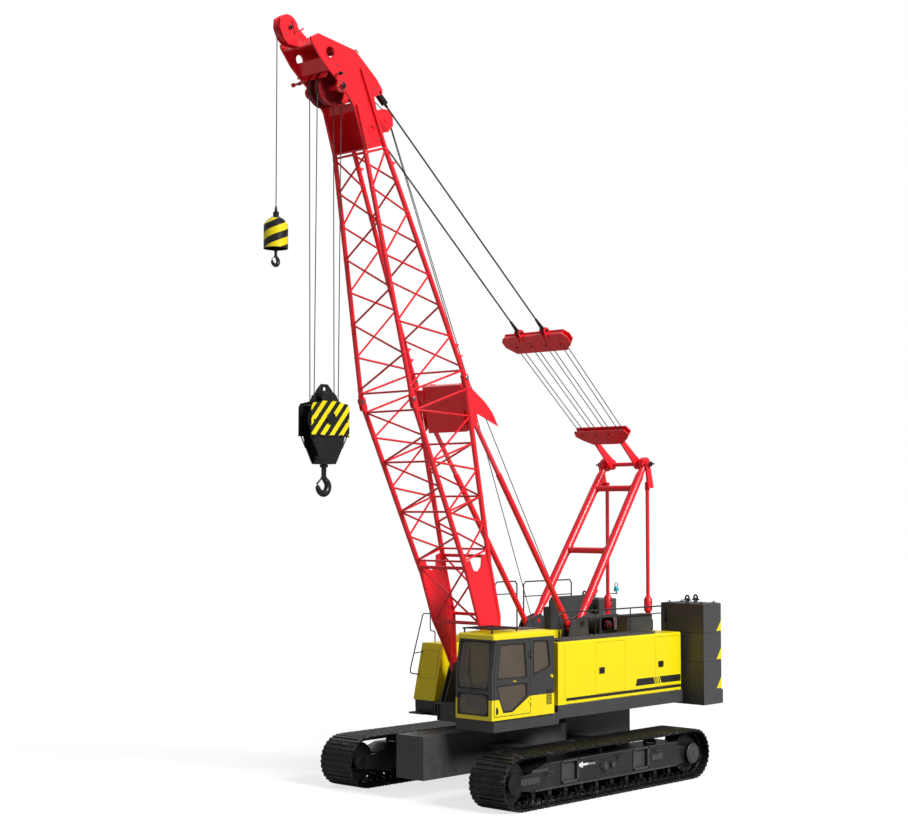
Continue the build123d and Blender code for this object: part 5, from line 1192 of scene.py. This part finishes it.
def makeHeadFittings():
    # hole rims, shaft ends and bolts on the head's cheeks
    cheek, (shaftX, shaftZ), (tipX, tipZ) = boom["cheek"], boom["mainShaft"], boom["tipShaft"]
    a = np.linspace(0, math.pi, 12)
    red, dark, bolts = [], [], []
    for side in both:
        for x, z, radius in ((2.075, -0.675, 0.110), (0.375, 0.0, 0.075)):
            rim = [(radius + 0.002, 0), (radius + 0.004, 0.010), (radius + 0.024, 0.010), (radius + 0.026, 0)]
            for way in both:
                points, faces = lathe(rim, (x, side * (cheek + way * 0.019), z), (0, side * way, 0), 28)
                red.append((points, faces[:1]))
        dark += [boss(side, place, profile, count) for place, profile, count in (
            ((shaftX, 0.540, shaftZ), [
                (0.030, 0), (0.062, 0.003), (0.062, 0.016), (0.045, 0.022), (0.010, 0.023)], 24),
            ((1.615, 0.606, -0.66), [(0.028, 0), (0.040, 0.004), (0.040, 0.030), (0.028, 0.034)], 16),
            ((tipX, 0.124, tipZ), [(0.020, 0), (0.045, 0.003), (0.045, 0.014), (0.010, 0.016)], 20),
        )]
        arch = np.stack([1.98 + 0.05 * np.cos(a), np.full(12, side * cheek), 0.06 + 0.07 * np.sin(a)], 1)
        dark.append(sweep(circle(0.009, 8), arch, up=(0, 1, 0)))
        bolts += boltRing(side, (shaftX, 0.493, shaftZ), 0.100, 8)
        bolts += boltsAt(side, cheek + 0.020, (
            (0.40, 0.185), (0.40, -0.185), (0.14, 0.185), (0.14, -0.185), (1.62, -0.42), (1.80, -0.55), (1.05, 0.42),
            (1.18, 0.36)))
        bolts += boltsAt(side, 0.105, ((2.62, -1.08), (2.75, -1.22), (2.60, -1.40), (2.44, -1.12)))
    # the arm on the far cheek, the roller that keeps the falls in their grooves, and the nose's pegs
    arm = [(0.026, 0), (0.026, 0.17), (0.045, 0.175), (0.048, 0.22), (0.030, 0.225)]
    red.append(boss(-1, (1.615, 0.62, -0.66), arm, 16))
    red += [bar(*ends, radius, 10) for *ends, radius in (
        ((1.72, -0.46, -0.74), (1.72, -0.56, -0.74), 0.022),
        ((2.60, 0.0, -0.97), (2.66, 0.0, -0.80), 0.018), ((2.84, 0.0, -1.16), (2.93, 0.0, -1.08), 0.018))]
    red.append(boxes([(2.55, 2.86, -0.105, 0.105, -1.19, -1.16)], 0.004))
    dark.append(bar((1.74, -0.42, -0.60), (1.74, 0.42, -0.60), 0.022, 14))
    addPiece("head_rims", moved(merge(red), headFrame), "boom", "redPaint")
    addPiece("head_keepers", moved(merge(dark), headFrame), "boom", "machineBlack")
    addBolts("head_bolts", (0.016, 0.018), headFrame @ np.array(bolts), "boom")


def makeRopes():
    # main falls between the head's sheaves and the block, the tip's fall to the weight, and the luffing falls
    (mainX, _, mainZ), (tipX, _, tipZ) = [
        onFrame(headFrame, (x, 0, z)) for x, z in (boom["mainShaft"], boom["tipShaft"])]
    low = boom["mainLow"]
    falls = []
    for side in (-1, 1):
        for x in (mainX + boom["mainReach"], mainX - boom["mainReach"]):
            falls.append(rope([(x, side * boom["headSpread"], mainZ), (x, side * boom["blockSpread"], low)]))
    piece = addPiece("main_fall_ropes", merge(falls), None, "wireRope")
    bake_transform(piece)
    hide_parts("main_falls")
    x, low = tipX + boom["tipReach"], boom["tipLow"]
    piece = addPiece("aux_fall_rope", rope([(x, 0, tipZ), (x, 0, low)]), None, "wireRope")
    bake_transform(piece)
    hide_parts("aux_fall")
    near, far = [row * pitch for row, pitch in zip((sheaveRow, sheaveRow), bridle["pitches"])]
    lines = [rope(onFrame(bridleFrame, [(bridle["low"], a + way * bridle["halfRope"], 0),
                                        (bridle["high"], b + way * bridle["halfRope"], 0)]))
             for a, b in zip(near, far) for way in both]
    piece = addPiece("luffing_ropes", merge(lines), None, "wireRope")
    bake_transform(piece)
    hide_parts("luffing_falls")


def makePendants():
    # rope between two cast sockets, with the sockets, eyes and pins in dark steel
    first, last = bridle["pendantFrom"], bridle["length"]
    cone = [(0.024, 0.38), (0.028, 0.375), (0.046, 0.06), (0.040, 0.05)]
    pin = [(0.020, 0), (0.038, 0.003), (0.038, 0.012), (0.010, 0.014)]
    strands, sockets = [], []
    for side in both:
        y = side * bridle["pendantY"]
        strands.append(rope(onFrame(bridleFrame, [(first + 0.36, y, 0), (last - 0.36, y, 0)]), wire["pendant"]))
        for x, way in ((first, 1), (last, -1)):
            sockets.append(lathe(cone, (x, y, 0), (way, 0, 0)))
            sockets.append(moved(ringPart(0.062, 0.029, 0.056, 28), shift((x, y, 0))))
            sockets.append(boxes([(x + way * 0.045, x + way * 0.10, y - 0.028, y + 0.028, -0.045, 0.045)], 0.008))
            for face in both:
                if way < 0:
                    fork = (x - 0.30, x + 0.02, y + face * 0.030, y + face * 0.062, -0.052, 0.052)
                    sockets.append(boxes([fork], 0.010))
                sockets.append(lathe(pin, (x, y + face * (0.095 if way > 0 else 0.030), 0), (0, face, 0), 16))
    addPiece("pendant_ropes", merge(strands), "bridle_reach", "wireRope")
    piece = addPiece("pendant_sockets", moved(merge(sockets), bridleFrame), "bridle_reach", "machineBlack")
    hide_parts("pendants")


def ringPart(outer, inner, thickness, sides):
    # a ring about the Y axis whose edge circles join into one closed band
    a = np.arange(sides) * turn / sides
    half, c = thickness / 2, min(0.004, (outer - inner) * 0.2)
    loop = [(outer - c, -half), (outer, c - half), (outer, half - c), (outer - c, half), (inner, half), (inner, -half)]
    points = np.stack([np.stack([r * np.cos(a), np.full(sides, h), r * np.sin(a)], 1) for r, h in loop])
    return points.reshape(-1, 3), [gridFaces(len(loop), sides, True, True)]


# each line's places over the head, at a bend, and where it turns to its drum, then the radius that it winds at
hoistLines = {
    "aux": {"y": (0.013, 0.02), "over": ((2.66, -1.10), (1.93, -0.05), (1.45, 0.30), (0.60, 1.052)),
            "bend": [(6.25, 0.013, 1.735)], "turn": (5.27, 2.03), "winding": 0.30},
    "main": {"y": (-0.013, -0.02), "over": ((1.09, -0.385), (0.668, 0.90), (0.60, 1.030)),
             "bend": [], "turn": (5.47, 1.786), "winding": 0.34},
}


def makeHoistLines():
    # two lines down the boom's back: along the boom they ride on it, below that they join it to the house
    head = boom["head"]
    for name, line in hoistLines.items():
        (y0, y1), radius, (drumX, drumZ) = line["y"], line["winding"], drums[name + "_drum"][:2]
        turnPoint = (line["turn"][0], y1, line["turn"][1])
        along = [(head + x, y0, z) for x, z in (*line["over"], (0.495, 1.072))] + line["bend"] + [turnPoint]
        addPiece(name + "_line_on_boom", rope(onFrame(boomFrame, along), wire["radius"], 12, 6), "boom", "wireRope")
        # it leaves the winding on its rear side, where the radius is square to the line
        knee = onFrame(boomFrame, turnPoint)
        runX, runZ = knee[0] - drumX, knee[2] - drumZ
        lift = math.atan2(runZ, runX) + math.acos(radius / math.hypot(runX, runZ))
        foot = np.array((drumX + radius * math.cos(lift), y1, drumZ + radius * math.sin(lift)))
        piece = addPiece(name + "_line_to_drum", rope([knee, foot], wire["radius"], 12, 6), None, "wireRope")
        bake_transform(piece)
    # the roller that turns the main line between the fins, in red darkened as painted shade, and those in the head
    x = hoistLines["main"]["turn"][0]
    addPiece("line_roller", moved(bar((x, -0.418, 1.74), (x, 0.418, 1.74), 0.035, 16), boomFrame), "boom", "redInPaintedShade")
    rollers = [bar((x, -0.43, z), (x, 0.43, z), 0.028, 14) for x, z in ((1.43, 0.27), (1.91, -0.08))]
    addPiece("head_rollers", moved(merge(rollers), headFrame), "boom", "machineBlack")


gantry = {
    "foot": (-1.300, 0.660, 3.557), "top": (-3.984, 0.600, 7.298), "stay": (-4.07, 0.62, 3.665),
    "lug": ((-1.82, 4.16), (-1.99, 4.21), (-2.04, 4.28), (-1.99, 4.34), (-1.92, 4.37)),
}


def makeGantryFittings():
    # pin heads at the gantry's top and feet, gussets on its legs' inner faces, and sleeves at the ends
    red, dark, bolts, sleeves = [], [], [], []
    topX, _, topZ = gantry["top"]
    footX, _, footZ = gantry["foot"]
    for side in both:
        dark += [boss(side, place, profile, count) for place, profile, count in (
            ((topX, 0.780, topZ), [
                (0.030, 0), (0.066, 0.004), (0.066, 0.022), (0.050, 0.030), (0.010, 0.032)], 24),
            ((footX, 0.800, footZ), [(0.030, 0), (0.060, 0.004), (0.060, 0.018), (0.010, 0.020)], 24),
            ((-1.014, 0.750, 3.448), [(0.030, 0), (0.056, 0.004), (0.056, 0.016), (0.010, 0.018)], 20),
        )]
        dark.append(bar((topX, side * 0.790, topZ), (topX, side * 0.90, topZ), 0.020))
        bolts += boltRing(side, (topX, 0.660, topZ), 0.125, 6)
        red.append(plate(gantry["lug"], side * 0.655 - 0.02, side * 0.655 + 0.02))
        x, y, z = gantry["stay"]
        sleeves.append(post((x, side * y, z), [
            (0.046, 0), (0.098, 0.05), (0.100, 0.33), (0.060, 0.40), (0.046, 0.41)]))
        for h in (z + 0.115, z + 0.265):
            dark.append(bar((x, side * y - 0.115, h), (x, side * y + 0.115, h), 0.022, 10))
        foot, top = [np.array(gantry[end]) * (1, side, 1) for end in ("foot", "top")]
        ends = [foot + (top - foot) * share for share in (0.095, 0.13, 0.915, 0.945)]
        sleeves.append(sweep(circle(0.103, 28), ends, scale=[0.80, 1, 1, 0.80], up=(0, 1, 0)))
        inward, along = np.array((0, -side, 0)), (top - foot) / np.linalg.norm(top - foot)
        for share in (0.44, 0.84):
            corner = foot + (top - foot) * share + inward * 0.05
            for way in both:
                tri = np.stack([corner, corner + inward * 0.20, corner + along * way * 0.20])
                red.append(wedge(tri, np.cross(inward, along) * 0.011))
    addPiece("gantry_sleeves", merge(sleeves), "house", "redPaint")
    addPiece("gantry_gussets", merge(red), "house", "redPaint", smooth=False)
    addPiece("gantry_pins", merge(dark), "house", "machineBlack")
    addBolts("gantry_bolts", (0.013, 0.014), bolts, "house")


def makeSpreaderFittings():
    # a bolt over every sheave on both plates with two beside it, and the sheaves' rims, which lie flat
    flat = np.array(((1, 0, 0, 0), (0, 0, -1, 0), (0, 1, 0, 0), (0, 0, 0, 1.0)))
    for name, body, x, pitch in zip(
            ("lower", "upper"), ("bridle", "bridle_reach"), (bridle["low"], bridle["high"]), bridle["pitches"]):
        heads, rims = [], []
        for y in sheaveRow * pitch:
            rims.append(moved(ringPart(0.108, 0.098, 0.020, 32), shift((x, y, 0)) @ flat))
            for face in both:
                places = ((x, y, 0.100), (x + 0.11, y + 0.05, 0.074), (x - 0.11, y + 0.05, 0.074))
                heads += [frameAt((a, b, face * c), (0, 0, face)) for a, b, c in places]
        addBolts(name + "_spreader_bolts", (0.014, 0.016), bridleFrame @ np.array(heads), body)
        addPiece(name + "_sheave_rims", moved(merge(rims), bridleFrame), body, "machineBlack")


def wedge(triangle, offset):
    # a three-cornered plate: the same triangle moved both ways along its normal
    points = np.vstack([triangle - offset, triangle + offset])
    return points, [np.array([(0, 2, 1), (3, 4, 5)]), np.array([(0, 1, 4, 3), (1, 2, 5, 4), (2, 0, 3, 5)])]


makeBoomFittings()
makeHeadCovers()
makeHeadFittings()
makeRopes()
makePendants()
makeHoistLines()
makeGantryFittings()
makeSpreaderFittings()
print("boom, gear and ropes are dressed")

# hooks

block = {
    "x": 6.115847, "axis": 8.030, "cheek": 0.200, "split": 7.69, "top": 8.385, "bottom": 7.10, "hook": 0.125,
    "slope": (0.766, 0.643), "bandShift": 0.045, "bandWidth": 0.098,
}
ball = {
    "x": 7.444749, "top": 12.140, "radius": 0.245, "height": 0.640, "pitch": 0.30, "socket": 0.120, "hook": 0.070,
}
ballLow = ball["top"] - ball["height"] - ball["socket"]
# in a hook's own size: the bow's inner and outer circles, its arc in degrees, and where the stem and centre lie
forging = {
    "inner": 0.66, "outer": 1.65, "outerCentre": (-0.30, -0.15), "arc": (112, 373), "offset": 0.35, "stem": 2.6,
    "drop": 3.35,
}
hooks = {
    "main_hook": {"x": block["x"], "size": block["hook"], "bottom": block["bottom"], "gap": 0.025, "drop": 0.070,
                  "sides": 24, "stem": [(0.046, 0), (0.046, 0.30), (0.040, 0.31)],
                  "collar": [(0.060, 0), (0.085, 0.006), (0.085, 0.059), (0.070, 0.065)]},
    "aux_hook": {"x": ball["x"], "size": ball["hook"], "bottom": ballLow, "gap": 0.010, "drop": 0.045,
                 "sides": 20, "stem": [(0.028, 0), (0.028, 0.13), (0.024, 0.135)],
                 "collar": [(0.036, 0), (0.048, 0.004), (0.048, 0.036), (0.040, 0.040)]},
}


def bandsAt(t, value, width):
    # 0 and 1 in turn, each as wide as asked, with a narrow edge
    wave = t.math("FRACT", t.times(value, 0.5 / width))
    return t.ramp(t.math("ABSOLUTE", t.less(wave, 0.5)), 0.247, 0.253)


def bandColor(t, mask):
    return t.mix(mask, paintOf("machineBlack"), paintOf("yellowPaint"))


def blockPaint(t, place):
    # slanted bands over the cheeks' outer faces, between the split and a height above the axis
    x, y, z = t.split(place)
    a, b = block["slope"]
    value = t.add(t.times(t.less(x, block["x"]), a), t.times(t.less(z, block["axis"]), b))
    bands = bandsAt(t, t.add(value, block["bandShift"]), block["bandWidth"])
    outer = t.math("GREATER_THAN", t.math("ABSOLUTE", y), block["cheek"] - 0.004)
    return bandColor(t, t.times(t.times(bands, outer), t.strictly(z, block["split"], block["top"])))


def ballPaint(t, place):
    # bands that climb round the weight: the height less a share of the angle, two starts in each turn
    x, y, z = t.split(place)
    angle = t.math("ARCTAN2", y, t.less(x, ball["x"]))
    climb = t.less(z, t.times(angle, 2 * ball["pitch"] / turn))
    bands = bandsAt(t, t.add(climb, 0.05), ball["pitch"] / 2)
    return bandColor(t, t.times(bands, t.strictly(z, ballLow + 0.012, ballLow + ball["height"] - 0.03)))


def hookPart(size, origin):
    # a forged hook: an egg-shaped section carried along a bow whose middle line and depth change with the angle
    steps, inner, (cx, cz) = 44, forging["inner"], forging["outerCentre"]
    share = np.linspace(0, 1, steps)
    angle = np.radians(np.linspace(*forging["arc"], steps))
    b = cx * np.cos(angle) + cz * np.sin(angle)
    outer = b + np.sqrt(b ** 2 - (cx ** 2 + cz ** 2) + forging["outer"] ** 2)
    # both ends are rounded by square roots of the distance from them
    blunt = np.sqrt(np.clip(share / 0.04, 0.05, 1) * np.clip((1 - share) / 0.10, 0.03, 1))
    width = 0.56 * (0.72 + 0.28 * np.sin(math.pi * np.clip(share, 0.05, 0.85))) * blunt
    section = np.linspace(0, turn, 20, endpoint=False)
    radial = (outer + inner)[:, None] / 2 + ((outer - inner) / 2 * blunt)[:, None] * np.cos(section)[None]
    across = width[:, None] * (1 - 0.22 * np.cos(section)) * np.sin(section)
    points = np.stack([radial * np.cos(angle)[:, None], across, radial * np.sin(angle)[:, None]], -1)
    parts = [(points.reshape(-1, 3), flipped(tubeFaces(steps, 20)))]
    axis = -forging["offset"]
    parts.append(post((axis, 0, 0), [
        (0.20, 1.02), (0.34, 1.25), (0.40, 1.55), (0.42, 1.9), (0.40, 2.3), (0.44, 2.45), (0.44, 2.88), (0.38, 2.92),
    ], 28))
    neck = [(-0.60, 0, 0.98), (-0.52, 0, 1.18), (-0.42, 0, 1.45), (axis, 0, 1.75)]
    parts.append(sweep(circle(1.0, 20), neck, scale=[0.46, 0.46, 0.42, 0.38], up=(0, 1, 0)))
    # the latch across its mouth, hinged between two cheeks
    parts.append(plate(((-0.12, 1.34), (0.02, 1.50), (1.27, 0.42), (1.20, 0.22), (1.08, 0.26)), -0.10, 0.10, 0.02))
    parts.append(bar((-0.02, -0.30, 1.42), (-0.02, 0.30, 1.42), 0.085))
    cheek = ((-0.2, 1.25), (-0.2, 1.55), (0.08, 1.56), (0.10, 1.34))
    parts += [plate(cheek, side * 0.20, side * 0.27, 0.015) for side in both]
    points, faces = merge(parts)
    return points * size + np.asarray(origin), faces


def makeHooks():
    # each forging's bow, stem and collar hang below the bottom of what carries them
    for name, hook in hooks.items():
        x, size, sides = hook["x"], hook["size"], hook["sides"]
        centre = hook["bottom"] - forging["drop"] * size - hook["gap"]
        bow = hookPart(size, (x + forging["offset"] * size, 0, centre))
        stem = post((x, 0, centre + forging["stem"] * size), hook["stem"], sides)
        collar = post((x, 0, hook["bottom"] - hook["drop"]), hook["collar"], sides)
        piece = addPiece(name + "_forging", merge([bow, stem, collar]), name, "machineBlack", angle=50)
        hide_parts(name)


def makeBlockFittings():
    # shaft covers and bolts on both cheeks
    parts, bolts = [], []
    x, axis, cheek = block["x"], block["axis"], block["cheek"]
    for side in both:
        parts.append(boss(side, (x, cheek + 0.012, axis), [
            (0.080, 0), (0.124, 0.004), (0.124, 0.014), (0.100, 0.020), (0.060, 0.022), (0.056, 0.034),
            (0.010, 0.036)], 36))
        bolts += boltRing(side, (x, cheek + 0.028, axis), 0.105, 8)
        for stand, places in (
            (0.002, ((0.40, 0.25), (-0.40, 0.25), (0.29, -0.345), (-0.29, -0.345), (0.45, -0.05), (-0.45, -0.05))),
            (-0.030, ((0.30, -0.50), (-0.30, -0.50), (0.16, -0.84), (-0.16, -0.84), (0.0, -0.70))),
        ):
            bolts += boltsAt(side, cheek + stand, [(x + a, axis + b) for a, b in places])
    addPiece("block_covers", merge(parts), "main_block", "machineBlack")
    addBolts("block_bolts", (0.018, 0.020), bolts, "main_block", "machineBlack")


def makeWeightDetails():
    # a seam ring, plugs in the weight's side, and the clevis on its top with the rope's socket
    x, radius = ball["x"], ball["radius"]
    floor, rim = radius - 0.002, radius + 0.003
    rings = [post((x, 0, ballLow), [(floor, 0), (rim, 0.004), (rim, 0.012), (floor, 0.016)], 48)]
    for a, h in ((1.54, 0.29), (-0.04, 0.12), (4.68, 0.29), (3.10, 0.12)):
        out = np.array((math.cos(a), math.sin(a), 0))
        place = np.array((x, 0, ballLow + h)) + out * (radius - 0.0075)
        rings.append(lathe([(0.020, -0.010), (0.034, -0.004), (0.034, 0.004), (0.010, 0.006)], place, out, 16))
    top = ballLow + ball["height"] + 0.10
    rings.append(bar((x, -0.055, top - 0.03), (x, 0.055, top - 0.03), 0.016, 14))
    rings += [boxes([(x - 0.040, x + 0.040, s * 0.042 - 0.007, s * 0.042 + 0.007, top - 0.11, top + 0.005)], 0.004)
              for s in both]
    rings.append(post((x, 0, top - 0.03), [(0.024, 0), (0.030, 0.01), (0.026, 0.13), (0.014, 0.15)], 20))
    addPiece("weight_fittings", merge(rings), "aux_ball", "machineBlack")


def makeTravelMarks():
    # an arrow on each crawler frame's outer face, pointing forward
    tail, neck, tip, low, middle, high, flare = 0.50, 0.92, 1.11, 0.700, 0.725, 0.750, 0.045
    outline = ((tail, low), (neck, low), (neck, low - flare), (tip, middle), (neck, high + flare), (neck, high),
               (tail, high))
    y = crawler["gauge"] / 2 + crawler["frameHalf"] + 0.001
    marks = [plate(outline, side * y - 0.002, side * y + 0.002, 0.0008) for side in both]
    addPiece("travel_marks", merge(marks), "undercarriage", "whiteMark", smooth=False)


makePattern("blockBands", "machineBlack", blockPaint)
makePattern("ballBands", "machineBlack", ballPaint)
wear("blockBands", ("main_block",))
wear("ballBands", ("aux_ball",))
makeHooks()
makeBlockFittings()
makeWeightDetails()
makeTravelMarks()
print("hooks are dressed")
